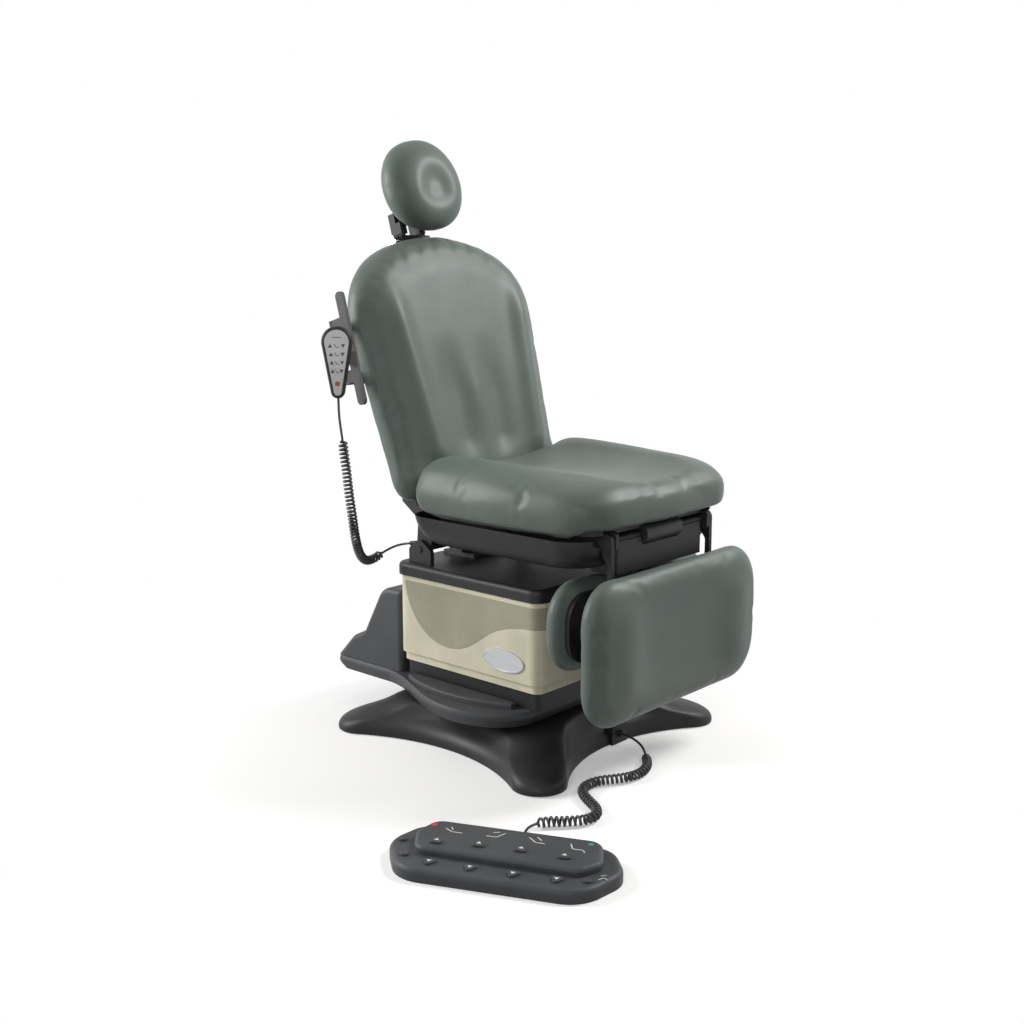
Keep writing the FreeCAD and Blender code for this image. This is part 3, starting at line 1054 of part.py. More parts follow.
def route_path(points):
    # Straight runs joined by arcs as large as the runs allow, as (start, end, arc centre) pieces.
    pieces = []
    radii = []
    start = points[0]
    for before, corner, after in zip(points, points[1:], points[2:]):
        arrive = (corner - before).normalize()
        leave = (after - corner).normalize()
        turn = arrive.getAngle(leave)
        setback = 0.45 * min(corner.distanceToPoint(before), after.distanceToPoint(corner))
        radius = setback / math.tan(turn / 2)
        radii.append(radius)
        inward = (leave - arrive).normalize()
        centre = corner + inward * (radius / math.cos(turn / 2))
        first = corner - arrive * setback
        second = corner + leave * setback
        pieces.append((start, first, None))
        pieces.append((first, second, centre))
        start = second
    pieces.append((start, points[-1], None))
    return pieces, radii


def sample_route(points, step):
    # Points at even steps along the rounded route, with the distance run so far.
    pieces, radii = route_path(points)
    samples = []
    travelled = 0.0
    for start, end, centre in pieces:
        if centre is None:
            length = start.distanceToPoint(end)
            place = lambda share: start + (end - start) * share
        else:
            spoke = start - centre
            turn = spoke.getAngle(end - centre)
            length = turn * spoke.Length
            across = ((end - centre) - spoke * math.cos(turn)) * (1 / math.sin(turn))
            place = lambda share: centre + spoke * math.cos(turn * share) + across * math.sin(turn * share)
        count = max(2, int(length / step))
        for k in range(count):
            samples.append((travelled + length * k / count, place(k / count)))
        travelled += length
    samples.append((travelled, points[-1]))
    return samples, radii


def carried_frames(places):
    # A tangent and a sideways direction at each place, carried along without twist.
    tangents = []
    for i in range(len(places)):
        ahead = places[min(i + 1, len(places) - 1)]
        behind = places[max(i - 1, 0)]
        tangents.append((ahead - behind).normalize())
    side = tangents[0].cross(V(0.3, 0.2, 0.93)).normalize()
    frames = []
    for tangent in tangents:
        side = (side - tangent * side.dot(tangent)).normalize()
        frames.append((tangent, side, tangent.cross(side)))
    return frames


def curly_points(points, leads, turns):
    # The cord's line: straight leads at both ends and even curls between, at quarter turns.
    samples, radii = sample_route(points, 0.5)
    places = [place for distance, place in samples]
    frames = carried_frames(places)
    total = samples[-1][0]
    def run_length(first, last):
        return sum(a.distanceToPoint(b) for a, b in zip(points[first:last], points[first + 1:last + 1]))
    begin = run_length(0, leads[0])
    finish = total - run_length(len(points) - 1 - leads[1], len(points) - 1)
    ease = (finish - begin) / turns
    def line(distance):
        index = min(int(distance / total * (len(samples) - 1)), len(samples) - 2)
        while samples[index + 1][0] < distance and index < len(samples) - 2:
            index += 1
        while samples[index][0] > distance and index > 0:
            index -= 1
        low, high = samples[index][0], samples[index + 1][0]
        share = (distance - low) / (high - low)
        place = places[index] + (places[index + 1] - places[index]) * share
        tangent, side, lift = frames[index]
        rise = min(1.0, max(0.0, (distance - begin) / ease), max(0.0, (finish - distance) / ease))
        swell = CURL_RADIUS * rise * rise * (3 - 2 * rise)
        angle = 2 * math.pi * turns * (min(max(distance, begin), finish) - begin) / (finish - begin)
        return place + side * (swell * math.cos(angle)) + lift * (swell * math.sin(angle))
    marks = [0.0, 2 * CORD_RADIUS]
    lead_steps = max(2, int((begin - marks[1]) / 16))
    marks += [marks[1] + (begin - marks[1]) * k / lead_steps for k in range(1, lead_steps)]
    marks += [begin + (finish - begin) * k / (4.0 * turns) for k in range(4 * turns + 1)]
    tail_end = total - 2 * CORD_RADIUS
    tail_steps = max(2, int((tail_end - finish) / 16))
    marks += [finish + (tail_end - finish) * k / tail_steps for k in range(1, tail_steps + 1)]
    marks.append(total)
    small = 0.05
    line_points = []
    for mark in marks:
        ahead = line(min(mark + small, total))
        behind = line(max(mark - small, 0.0))
        line_points.append((line(mark), (ahead - behind).normalize()))
    first = line_points[0][0]
    out = (line_points[1][0] - first).normalize()
    line_points[0] = (first, out)
    line_points[1] = (line_points[1][0], out)
    last = line_points[-1][0]
    into = (last - line_points[-2][0]).normalize()
    line_points[-1] = (last, into)
    line_points[-2] = (line_points[-2][0], into)
    dense = [line(total * k / (turns * 40.0)) for k in range(turns * 40 + 1)]
    return line_points, radii, dense, total


def biarc_edges(line_points):
    edges = []
    for (start, leave), (end, arrive) in zip(line_points, line_points[1:]):
        chord = end - start
        if chord.getAngle(leave) < 0.0005 and chord.getAngle(arrive) < 0.0005:
            edges.append(Part.LineSegment(start, end).toShape())
            continue
        both = leave + arrive
        along = chord.dot(both)
        square = 2 * (1 - leave.dot(arrive))
        if square < 1e-9:
            reach = chord.dot(chord) / (4 * chord.dot(arrive))
        else:
            reach = (math.sqrt(along * along + square * chord.dot(chord)) - along) / square
        middle = (start + end + (leave - arrive) * reach) * 0.5
        for near, far, knee in ((start, middle, start + leave * reach), (middle, end, end - arrive * reach)):
            weight = near.distanceToPoint(far) / (2 * reach)
            arc_middle = (near + knee * (2 * weight) + far) * (1 / (2 + 2 * weight))
            straight = near + (far - near) * 0.5
            if arc_middle.distanceToPoint(straight) < 0.0005:
                edges.append(Part.LineSegment(near, far).toShape())
            else:
                edges.append(Part.Arc(near, arc_middle, far).toShape())
    return edges


def least_gap(dense):
    # The smallest clear distance between stretches of the cord that are not neighbours along it.
    apart = 8 * CORD_RADIUS
    window = 60.0
    run = [0.0]
    for here, following in zip(dense, dense[1:]):
        run.append(run[-1] + here.distanceToPoint(following))
    nearest = window
    for i in range(0, len(dense), 2):
        j = i + 1
        while j < len(dense) and run[j] - run[i] < 2 * window:
            if run[j] - run[i] > apart:
                nearest = min(nearest, dense[i].distanceToPoint(dense[j]))
            j += 1
    return nearest - 2 * CORD_RADIUS


def curly_cord(name, points, leads, turns):
    line_points, radii, dense, total = curly_points(points, leads, turns)
    wire = Part.Wire(biarc_edges(line_points))
    start, out = line_points[0]
    section = Part.Wire([Part.Circle(start, out, CORD_RADIUS).toShape()])
    cord = wire.makePipeShell([section], True, False)
    expected = math.pi * CORD_RADIUS ** 2 * wire.Length
    print(name, "route", round(total), "mm, wire", round(wire.Length), "mm, volume ratio",
          round(cord.Volume / expected, 4))
    print(name, "route radii", [round(r) for r in radii])
    print(name, "least gap to itself", round(least_gap(dense), 2), "mm")
    save(name, cord)


def make_cords():
    curly_cord("foot_cord", FOOT_ROUTE, FOOT_LEADS, FOOT_CURLS)
    curly_cord("hand_cord", HAND_ROUTE, HAND_LEADS, HAND_CURLS)


def main():
    os.makedirs("parts", exist_ok=True)
    make_base()
    make_foot_socket()
    make_deck()
    make_hump()
    make_column()
    make_head()
    make_seat()
    make_back()
    make_hand_control()
    make_headrest()
    make_leg()
    make_footrest()
    make_foot_control()
    make_cords()


main()
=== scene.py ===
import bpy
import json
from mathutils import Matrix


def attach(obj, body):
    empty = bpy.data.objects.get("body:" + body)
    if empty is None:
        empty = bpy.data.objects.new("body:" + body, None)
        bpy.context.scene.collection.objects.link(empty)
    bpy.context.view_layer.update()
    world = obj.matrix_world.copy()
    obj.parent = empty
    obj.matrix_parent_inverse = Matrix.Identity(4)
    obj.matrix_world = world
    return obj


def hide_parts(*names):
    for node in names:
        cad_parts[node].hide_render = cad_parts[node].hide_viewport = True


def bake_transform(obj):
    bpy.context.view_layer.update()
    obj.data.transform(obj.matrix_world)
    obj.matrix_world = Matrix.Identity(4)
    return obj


bl_info = {
    "name": "Procedure chair",
    "version": (1, 0, 0),
    "blender": (4, 5, 0),
    "location": "View3D > Sidebar > Chair",
    "description": "Dresses the procedure chair's frame with upholstery, cords, finishes and a studio",
    "category": "Object",
}

import json
import math

import bmesh
import bpy
import numpy as np
from mathutils import Matrix, Vector

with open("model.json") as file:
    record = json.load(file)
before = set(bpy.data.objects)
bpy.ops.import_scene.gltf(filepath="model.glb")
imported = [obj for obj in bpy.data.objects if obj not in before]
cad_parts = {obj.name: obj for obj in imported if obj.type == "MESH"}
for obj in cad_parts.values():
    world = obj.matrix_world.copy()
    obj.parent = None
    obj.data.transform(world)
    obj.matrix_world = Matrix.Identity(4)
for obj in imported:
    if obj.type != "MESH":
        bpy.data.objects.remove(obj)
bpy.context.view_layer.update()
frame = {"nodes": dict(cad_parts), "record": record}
NODES = frame["nodes"]

# The back is drawn upright and then leaned about its hinge.
BACK_HINGE = Vector((0.0, 0.240, 0.600))
BACK_HINGE_DEPTH = 0.136
BACK_LEAN = math.radians(16.5)

# The foot control is drawn along X and then turned on the floor.
CONTROL_PLACE = Vector((-0.670, -0.520, 0.0))
CONTROL_TURN = math.radians(-65.7)
CONTROL_STEP = 0.028
CONTROL_TOP = 0.046
BUTTON_PROUD = 0.005
RAISE_ROW = [(-0.135, -0.008), (-0.049, 0.002), (0.038, 0.006), (0.128, 0.002)]
LOWER_ROW = [(-0.130, -0.065), (-0.045, -0.066), (0.043, -0.066), (0.130, -0.063)]

# The hand control hangs upright with its face towards the front and the sitter's right.
HAND_TOP = Vector((-0.402, 0.252, 1.040))
HAND_TURN = math.radians(-45.0)
HAND_FACE_DEPTH = 0.0152

FOOT_ROUTE = [
    (0.0450, -0.2820, 0.0260), (0.0470, -0.3120, 0.0230), (0.0380, -0.3440, 0.0160),
    (0.0160, -0.3700, 0.0130), (-0.0100, -0.3930, 0.0125), (-0.0380, -0.4180, 0.0125),
    (-0.0700, -0.4380, 0.0125), (-0.1060, -0.4460, 0.0125), (-0.1420, -0.4400, 0.0125),
    (-0.1740, -0.4210, 0.0125), (-0.2060, -0.4010, 0.0125), (-0.2400, -0.3950, 0.0125),
    (-0.2720, -0.4040, 0.0125), (-0.2960, -0.4300, 0.0125), (-0.3140, -0.4620, 0.0125),
    (-0.3320, -0.4950, 0.0125), (-0.3620, -0.5170, 0.0125), (-0.3960, -0.5120, 0.0125),
    (-0.4260, -0.4880, 0.0125), (-0.4520, -0.4600, 0.0125), (-0.4820, -0.4440, 0.0125),
    (-0.5120, -0.4470, 0.0130), (-0.5392, -0.4646, 0.0140), (-0.5665, -0.4769, 0.0140)]
HAND_ROUTE = [
    (-0.4020, 0.2520, 0.8680), (-0.4020, 0.2520, 0.8360), (-0.4010, 0.2490, 0.8040),
    (-0.3990, 0.2440, 0.7680), (-0.3970, 0.2410, 0.7300), (-0.3930, 0.2390, 0.6920),
    (-0.3880, 0.2400, 0.6540), (-0.3830, 0.2400, 0.6150), (-0.3760, 0.2410, 0.5780),
    (-0.3670, 0.2460, 0.5400), (-0.3530, 0.2550, 0.5060), (-0.3340, 0.2680, 0.4760),
    (-0.3100, 0.2820, 0.4540), (-0.2840, 0.2940, 0.4400), (-0.2540, 0.3000, 0.4400),
    (-0.2260, 0.2980, 0.4520), (-0.2000, 0.2840, 0.4660), (-0.1860, 0.2620, 0.4740),
    (-0.1820, 0.2380, 0.4780)]

# The smooth line through a curl's points runs inside them by this share of their radius.
CURL_DRAW_IN = 0.967
POINTS_PER_TURN = 12
POINTS_PER_LEAD = 8
FOOT_LEADS = (0.133, 0.0925)
HAND_LEADS = (0.1006, 0.0847)
TANGENT_REACH = 0.002
FIRST_CURL_AXIS = (0.3, 0.2, 0.93)

CAMERA_PLACE = Vector((-2.452, -2.136, 1.1875))
CAMERA_TURN = math.radians(-48.27)
CAMERA_TILT = math.radians(10.851)
CAMERA_SENSOR = 36.0

# Place, target and size of each soft box.
LAMPS = {
    "side": ((-2.0, 2.3, 1.6), (-0.1, 0.0, 0.6), (1.1, 1.9)),
    "front": ((2.15, -1.75, 2.95), (0.0, 0.0, 0.6), (1.4, 1.2)),
    "fill": ((-2.9, -1.7, 1.5), (-0.1, 0.0, 0.6), (1.4, 1.4)),
    "top": ((-0.2, 0.6, 3.5), (0.0, 0.0, 0.7), (1.9, 1.6)),
}

# The floor takes shadows near the chair and fades to plain white further out.
FLOOR_RADIUS = 9.0
FLOOR_DROP = 0.0005
FLOOR_GLOW = 0.32
FLOOR_MIDDLE = (-0.3, -0.25, 0.0)
FLOOR_FADE = (0.62, 1.12)
FLOOR_BOUNCE = (0.22, 0.22, 0.22, 1)
WHITE = (1, 1, 1, 1)

# Steps in the making of a pad.
FILLING_FRAMES = 20
EVENING_ROUNDS = 10
CLOSING_ROUNDS = 3


# Properties

class ChairUpholstery(bpy.types.PropertyGroup):
    """Sizes and colour of the padded pieces."""
    colour: bpy.props.FloatVectorProperty(
        name="Vinyl", description="Colour of the coated vinyl", subtype="COLOR", size=3, min=0, max=1,
        default=(0.122, 0.149, 0.132))
    roughness: bpy.props.FloatProperty(
        name="Roughness", description="Gloss of the vinyl, lower is shinier", subtype="FACTOR",
        min=0, max=1, default=0.44)
    voxel: bpy.props.FloatProperty(
        name="Grid", description="Spacing of the pads' mesh before smoothing", subtype="DISTANCE",
        unit="LENGTH", default=0.006)
    pressure: bpy.props.FloatProperty(
        name="Pressure", description="Filling pressure inside each pad", default=4.0)
    swell: bpy.props.FloatProperty(
        name="Swell", description="Most that the filling may move the cover", subtype="DISTANCE",
        unit="LENGTH", default=0.006)


class ChairFinishes(bpy.types.PropertyGroup):
    """Colours of the moulded and metal pieces."""
    base: bpy.props.FloatVectorProperty(
        name="Base", description="Floor base moulding", subtype="COLOR", size=3, min=0, max=1,
        default=(0.014, 0.0145, 0.0145))
    deck: bpy.props.FloatVectorProperty(
        name="Deck", description="Turntable deck, pedals and foot control", subtype="COLOR", size=3,
        min=0, max=1, default=(0.058, 0.060, 0.064))
    cream: bpy.props.FloatVectorProperty(
        name="Cream", description="Lift shrouds", subtype="COLOR", size=3, min=0, max=1,
        default=(0.66, 0.62, 0.47))
    tan: bpy.props.FloatVectorProperty(
        name="Tan", description="Upper field of the lift shroud", subtype="COLOR", size=3,
        min=0, max=1, default=(0.37, 0.345, 0.255))
    frame: bpy.props.FloatVectorProperty(
        name="Frame", description="Powder coat of the steelwork", subtype="COLOR", size=3,
        min=0, max=1, default=(0.017, 0.017, 0.018))
    steel: bpy.props.FloatVectorProperty(
        name="Steel", description="Ground steel", subtype="COLOR", size=3, min=0, max=1,
        default=(0.55, 0.55, 0.56))
    keypad: bpy.props.FloatVectorProperty(
        name="Keypad", description="Face of the hand control", subtype="COLOR", size=3, min=0, max=1,
        default=(0.86, 0.88, 0.87))


class ChairCords(bpy.types.PropertyGroup):
    """Sizes of the two curly cords."""
    diameter: bpy.props.FloatProperty(
        name="Diameter", description="Thickness of the cord's jacket", subtype="DISTANCE",
        unit="LENGTH", default=0.006)
    curl: bpy.props.FloatProperty(
        name="Curl radius", description="Radius of the curls at the middle of the cord",
        subtype="DISTANCE", unit="LENGTH", default=0.009)
    foot_turns: bpy.props.IntProperty(
        name="Foot curls", description="Curls in the foot cord", default=50)
    hand_turns: bpy.props.IntProperty(
        name="Hand curls", description="Curls in the hand cord", default=44)


class ChairStudio(bpy.types.PropertyGroup):
    """Light, floor and camera."""
    ambient: bpy.props.FloatProperty(
        name="Ambient", description="Strength of the light from all round", default=0.06)
    side: bpy.props.FloatProperty(
        name="Side", description="Power of the soft box behind the sitter's right", subtype="POWER",
        unit="POWER", default=100.0)
    front: bpy.props.FloatProperty(
        name="Front", description="Power of the soft box high before the sitter's left",
        subtype="POWER", unit="POWER", default=122.0)
    fill: bpy.props.FloatProperty(
        name="Fill", description="Power of the weak soft box before the sitter's right",
        subtype="POWER", unit="POWER", default=26.0)
    top: bpy.props.FloatProperty(
        name="Top", description="Power of the soft box overhead", subtype="POWER", unit="POWER",
        default=10.0)
    lens: bpy.props.FloatProperty(
        name="Lens", description="Focal length on a 36 mm frame", subtype="DISTANCE_CAMERA",
        unit="CAMERA", default=45.675)


# Shader maths

class Socket:
    """An output socket whose arithmetic adds Math nodes to its tree."""

    def __init__(self, socket):
        self.socket = socket

    def make(self, kind, settings=None, inputs=None, output=0):
        """A new node of that kind with its settings, then its sockets' values or links."""
        tree = self.socket.id_data
        node = tree.nodes.new(kind)
        for name, value in (settings or {}).items():
            setattr(node, name, value)
        for name, value in (inputs or {}).items():
            if isinstance(value, Socket):
                tree.links.new(value.socket, node.inputs[name])
            else:
                node.inputs[name].default_value = value
        return Socket(node.outputs[output])

    def math(self, operation, other, swapped=False, clamp=False):
        pair = (other, self) if swapped else (self, other)
        settings = {"operation": operation, "use_clamp": clamp}
        return self.make("ShaderNodeMath", settings, dict(enumerate(pair)))

    def __add__(self, other):
        return self.math("ADD", other)

    __radd__ = __add__

    def __sub__(self, other):
        return self.math("SUBTRACT", other)

    def __rsub__(self, other):
        return self.math("SUBTRACT", other, swapped=True)

    def __mul__(self, other):
        return self.math("MULTIPLY", other)

    __rmul__ = __mul__

    def mix(self, first, second):
        """A colour between two, by this socket as the share of the second."""
        return self.make("ShaderNodeMix", {"data_type": "RGBA"}, {0: self, 6: first, 7: second}, 2)

    def noise(self, scale, detail=4.0, roughness=0.55):
        return self.make("ShaderNodeTexNoise", None,
                         {"Vector": self, "Scale": scale, "Detail": detail, "Roughness": roughness})

    def ramp(self, low, high):
        """This socket spread so that low becomes 0 and high becomes 1."""
        settings = {"interpolation_type": "SMOOTHSTEP"}
        return self.make("ShaderNodeMapRange", settings, {0: self, 1: low, 2: high})

    def bump(self, strength, distance):
        return self.make("ShaderNodeBump", None,
                         {"Strength": strength, "Distance": distance, "Height": self})

    def shown_rays(self):
        """1 for rays that are seen straight, by reflection or through glass, and 0 for the rest."""
        rays = self.make("ShaderNodeLightPath").socket.node.outputs
        shown = Socket(rays["Is Camera Ray"]) + Socket(rays["Is Glossy Ray"])
        return shown.math("ADD", Socket(rays["Is Transmission Ray"]), clamp=True)


def new_material(name):
    """A plain material, with its shader and its object coordinates."""
    material = bpy.data.materials.new(name)
    material.use_nodes = True
    shader = material.node_tree.nodes["Principled BSDF"]
    return material, shader, Socket(shader.outputs[0]).make("ShaderNodeTexCoord", output="Object")


def feed(shader, **inputs):
    """Links or values for the shader's sockets, with spaces in their names written as _."""
    for name, value in inputs.items():
        socket = shader.inputs[name.replace("_", " ")]
        if isinstance(value, Socket):
            shader.id_data.links.new(value.socket, socket)
        else:
            socket.default_value = value


def rgba(colour, scale=1.0):
    return tuple(min(1.0, c * scale) for c in colour) + (1.0,)


def vinyl(name, colour, roughness):
    """Coated vinyl: fine pebble grain, faint cloudy tone and handling shine."""
    material, shader, place = new_material(name)
    pebble = place.make("ShaderNodeTexVoronoi", {"feature": "SMOOTH_F1"},
                        {"Vector": place, "Scale": 900.0})
    cloud = place.noise(5.0, 3.0)
    hand = place.noise(22.0, 5.0, 0.6)
    tone = cloud.ramp(0.3, 0.7).mix(rgba(colour, 0.92), rgba(colour, 1.07))
    height = pebble * 0.6 + place.noise(240.0, 3.0) * 0.5
    feed(shader, Base_Color=tone, Roughness=hand * 0.12 + (roughness - 0.06),
         Normal=height.bump(0.10, 0.0006), Specular_IOR_Level=0.24)
    return material


def moulding(name, colour, roughness, grain=0.25):
    """Moulded plastic with a spark-eroded grain, faint flow clouds and scuffs."""
    material, shader, place = new_material(name)
    gloss_spread = 0.10
    grit = place.noise(1400.0, 2.0)
    cloud = place.noise(7.0, 4.0)
    scuff = place.noise(90.0, 6.0, 0.7).ramp(0.60, 0.78)
    tone = cloud.ramp(0.3, 0.72).mix(rgba(colour, 0.9), rgba(colour, 1.1))
    tone = (scuff * 0.35).mix(tone, rgba(colour, 1.45))
    gloss = cloud * gloss_spread + scuff * 0.05 + (roughness - gloss_spread / 2)
    feed(shader, Base_Color=tone, Roughness=gloss, Normal=grit.bump(grain, 0.0004), Specular_IOR_Level=0.28)
    return material


def coated_metal(name, colour, roughness):
    """Powder-coated steel: orange-peel surface with a satin shine."""
    material, shader, place = new_material(name)
    peel = place.noise(420.0, 2.0, 0.45)
    cloud = place.noise(9.0, 3.0)
    tone = cloud.ramp(0.3, 0.7).mix(rgba(colour, 0.85), rgba(colour, 1.15))
    feed(shader, Base_Color=tone, Roughness=cloud * 0.12 + (roughness - 0.06),
         Normal=peel.bump(0.18, 0.0005), Specular_IOR_Level=0.28)
    return material


def bare_metal(name, colour, roughness, stretch=(1.0, 1.0, 40.0)):
    """Ground metal with fine lines across one direction."""
    material, shader, place = new_material(name)
    lined = place.make("ShaderNodeMapping", None, {"Vector": place, "Scale": stretch})
    line = lined.noise(60.0, 5.0, 0.6)
    cloud = place.noise(14.0, 3.0)
    tone = line.ramp(0.3, 0.7).mix(rgba(colour, 0.86), rgba(colour, 1.08))
    gloss = line * 0.14 + cloud * 0.06 + (roughness - 0.10)
    feed(shader, Base_Color=tone, Metallic=1.0, Roughness=gloss, Normal=line.bump(0.06, 0.0003))
    return material


def jacket(name, colour):
    """Soft cord jacket, slightly dusty."""
    material, shader, place = new_material(name)
    dust = place.noise(130.0, 4.0)
    tone = dust.ramp(0.45, 0.8).mix(rgba(colour), rgba(colour, 1.9))
    grain = place.noise(700.0, 2.0)
    feed(shader, Base_Color=tone, Roughness=dust * 0.2 + 0.34, Normal=grain.bump(0.1, 0.0003))
    return material


def painted_mark(name, colour):
    """Printed ink on a key or a face."""
    material, shader, place = new_material(name)
    ink = place.noise(500.0, 3.0)
    tone = ink.ramp(0.3, 0.7).mix(rgba(colour, 0.93), rgba(colour))
    feed(shader, Base_Color=tone, Roughness=ink * 0.15 + 0.36)
    return material


# Mesh helpers

def add_object(name, data, material, body=None):
    piece = bpy.data.objects.new(name, data)
    bpy.context.scene.collection.objects.link(piece)
    data.materials.append(material)
    if body:
        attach(piece, body)
    return piece


def shade_smooth(mesh):
    for polygon in mesh.polygons:
        polygon.use_smooth = True


def mesh_from(name, work):
    mesh = bpy.data.meshes.new(name)
    bmesh.ops.recalc_face_normals(work, faces=work.faces)
    work.to_mesh(mesh)
    work.free()
    shade_smooth(mesh)
    return mesh


def coordinates(mesh):
    flat = np.empty(len(mesh.vertices) * 3)
    mesh.vertices.foreach_get("co", flat)
    return flat.reshape(-1, 3)


def set_coordinates(mesh, points):
    mesh.vertices.foreach_set("co", points.ravel())
    mesh.update()


def vertex_normals(mesh):
    flat = np.empty(len(mesh.vertices) * 3)
    mesh.vertices.foreach_get("normal", flat)
    return flat.reshape(-1, 3)


def step(low, high, value):
    """0 below low, 1 above high and a smooth rise between."""
    share = np.clip((value - low) / (high - low), 0.0, 1.0)
    return share * share * (3 - 2 * share)


def hill(value, centre, width):
    return np.exp(-((value - centre) / width) ** 2)


def relax(mesh, rounds, back=1.03):
    """Draws each point half way to the middle of its neighbours, then a share of that way back out."""
    points = coordinates(mesh)
    ends = np.empty(len(mesh.edges) * 2, dtype=np.int64)
    mesh.edges.foreach_get("vertices", ends)
    first, second = ends.reshape(-1, 2).T
    count = np.bincount(ends, minlength=len(points))[:, None]
    pushes = (0.5, -0.5 * back) if back else (0.5,)
    for push in pushes * rounds:
        total = np.empty_like(points)
        for axis in range(3):
            total[:, axis] = np.bincount(first, weights=points[second, axis], minlength=len(points))
            total[:, axis] += np.bincount(second, weights=points[first, axis], minlength=len(points))
        points = points + (total / count - points) * push
    set_coordinates(mesh, points)


def applied(piece):
    """The piece's mesh with its modifiers in it."""
    depsgraph = bpy.context.evaluated_depsgraph_get()
    return bpy.data.meshes.new_from_object(piece.evaluated_get(depsgraph))


def take_mesh(piece, mesh):
    old = piece.data
    piece.modifiers.clear()
    piece.data = mesh
    bpy.data.meshes.remove(old)


def even_grid(piece, voxel):
    remesh = piece.modifiers.new("Grid", "REMESH")
    remesh.mode = "VOXEL"
    remesh.voxel_size = voxel
    take_mesh(piece, applied(piece))


def fill_with_air(piece, pressure, swell):
    """Lets the filling swell the cover, by no more than the given distance."""
    rest = coordinates(piece.data)
    cloth = piece.modifiers.new("Filling", "CLOTH")
    settings = cloth.settings
    settings.quality = 5
    settings.mass = 0.4
    settings.use_pressure = True
    settings.uniform_pressure_force = pressure
    settings.tension_stiffness = 30
    settings.compression_stiffness = 30
    settings.bending_stiffness = 2.0
    settings.effector_weights.gravity = 0
    cloth.collision_settings.use_collision = False
    cloth.point_cache.frame_start = 1
    cloth.point_cache.frame_end = FILLING_FRAMES
    scene = bpy.context.scene
    for number in range(1, FILLING_FRAMES + 1):
        scene.frame_set(number)
    mesh = applied(piece)
    moved = coordinates(mesh) - rest
    length = np.linalg.norm(moved, axis=1, keepdims=True)
    set_coordinates(mesh, rest + moved * np.minimum(1.0, swell / np.maximum(length, 1e-9)))
    take_mesh(piece, mesh)
    scene.frame_set(1)


def soften(mesh, rounds):
    """Rounds the whole form off and stretches it back to the size that it had."""
    before = coordinates(mesh)
    relax(mesh, rounds, back=0.0)
    after = coordinates(mesh)
    low, size = before.min(axis=0), np.ptp(before, axis=0)
    set_coordinates(mesh, low + (after - after.min(axis=0)) * size / np.ptp(after, axis=0))


def pad(node, name, body, material, sculpt, soft, fill, level=None):
    """A cushion grown from its solid's form: evened, softened, filled, shaped and smoothed."""
    sizes = bpy.context.scene.chair_upholstery
    piece = bpy.data.objects.new(name, NODES[node].data.copy())
    bpy.context.scene.collection.objects.link(piece)
    even_grid(piece, sizes.voxel)
    if level:
        level(piece.data)
    soften(piece.data, soft)
    fill_with_air(piece, sizes.pressure, sizes.swell)
    relax(piece.data, EVENING_ROUNDS)
    sculpt(piece.data)
    relax(piece.data, CLOSING_ROUNDS)
    smooth = piece.modifiers.new("Smooth", "SUBSURF")
    smooth.levels = 1
    smooth.render_levels = 1
    take_mesh(piece, applied(piece))
    shade_smooth(piece.data)
    piece.data.materials.clear()
    piece.data.materials.append(material)
    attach(piece, body)
    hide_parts(node)


def to_back(points):
    """Places in the back's upright drawing: across, depth from the front face, height."""
    across, y, z = (points - np.array(BACK_HINGE)).T
    depth = y * math.cos(BACK_LEAN) - z * math.sin(BACK_LEAN) + BACK_HINGE_DEPTH
    height = y * math.sin(BACK_LEAN) + z * math.cos(BACK_LEAN)
    return across, depth, height


def push_back_face(mesh, amount):
    """Moves points along the back's depth by amount, forwards being negative."""
    points = coordinates(mesh)
    points[:, 1] += amount * math.cos(BACK_LEAN)
    points[:, 2] -= amount * math.sin(BACK_LEAN)
    set_coordinates(mesh, points)


def facing(mesh, direction):
    """How far each point's surface faces the direction, from 0 to 1."""
    return np.clip(vertex_normals(mesh) @ np.array(direction), 0.0, 1.0)


BACK_FRONT = (0.0, -math.cos(BACK_LEAN), math.sin(BACK_LEAN))
HEADREST_FACE_DEPTH = -0.024
HEADREST_DIMPLE_HEIGHT = 0.795
HEADREST_DIMPLE_REACH = 0.042
HEADREST_DISH_HEIGHT = 0.766


def shape_back(mesh):
    """Two crests up the front, a hollow between them and a soft lumbar swell low in the middle."""
    across, _, height = to_back(coordinates(mesh))
    front = step(0.25, 0.75, facing(mesh, BACK_FRONT))
    side = np.abs(across)
    crest_at = 0.180 + 0.10 * height
    low = step(0.02, 0.10, height)
    crest = hill(side, crest_at, 0.036) * low * (1 - step(0.42, 0.60, height)) * 0.018
    middle = step(0.04, 0.12, height) * (1 - step(0.22, 0.40, height))
    hollow = hill(side, 0.072, 0.042) * middle * 0.013
    lumbar = hill(across, 0.0, 0.036) * hill(height, 0.215, 0.085) * 0.007
    fall = step(0.03, 0.13, side - crest_at) * low * (1 - step(0.40, 0.56, height)) * 0.016
    corner = hill(height, 0.035, 0.040) * hill(side, 0.255, 0.035)
    crease = corner * np.sin((side * 0.8 + height) * 400.0) * 0.0016
    push_back_face(mesh, front * (hollow + fall - crest - lumbar) + crease)


def level_headrest(mesh):
    """Fills the solid's small dimple, so that the soft dish starts from a plain face."""
    across, depth, height = to_back(coordinates(mesh))
    reach = np.hypot(across, height - HEADREST_DIMPLE_HEIGHT)
    inside = (reach < HEADREST_DIMPLE_REACH) & (depth < 0.0)
    push_back_face(mesh, np.where(inside, HEADREST_FACE_DEPTH - depth, 0.0))


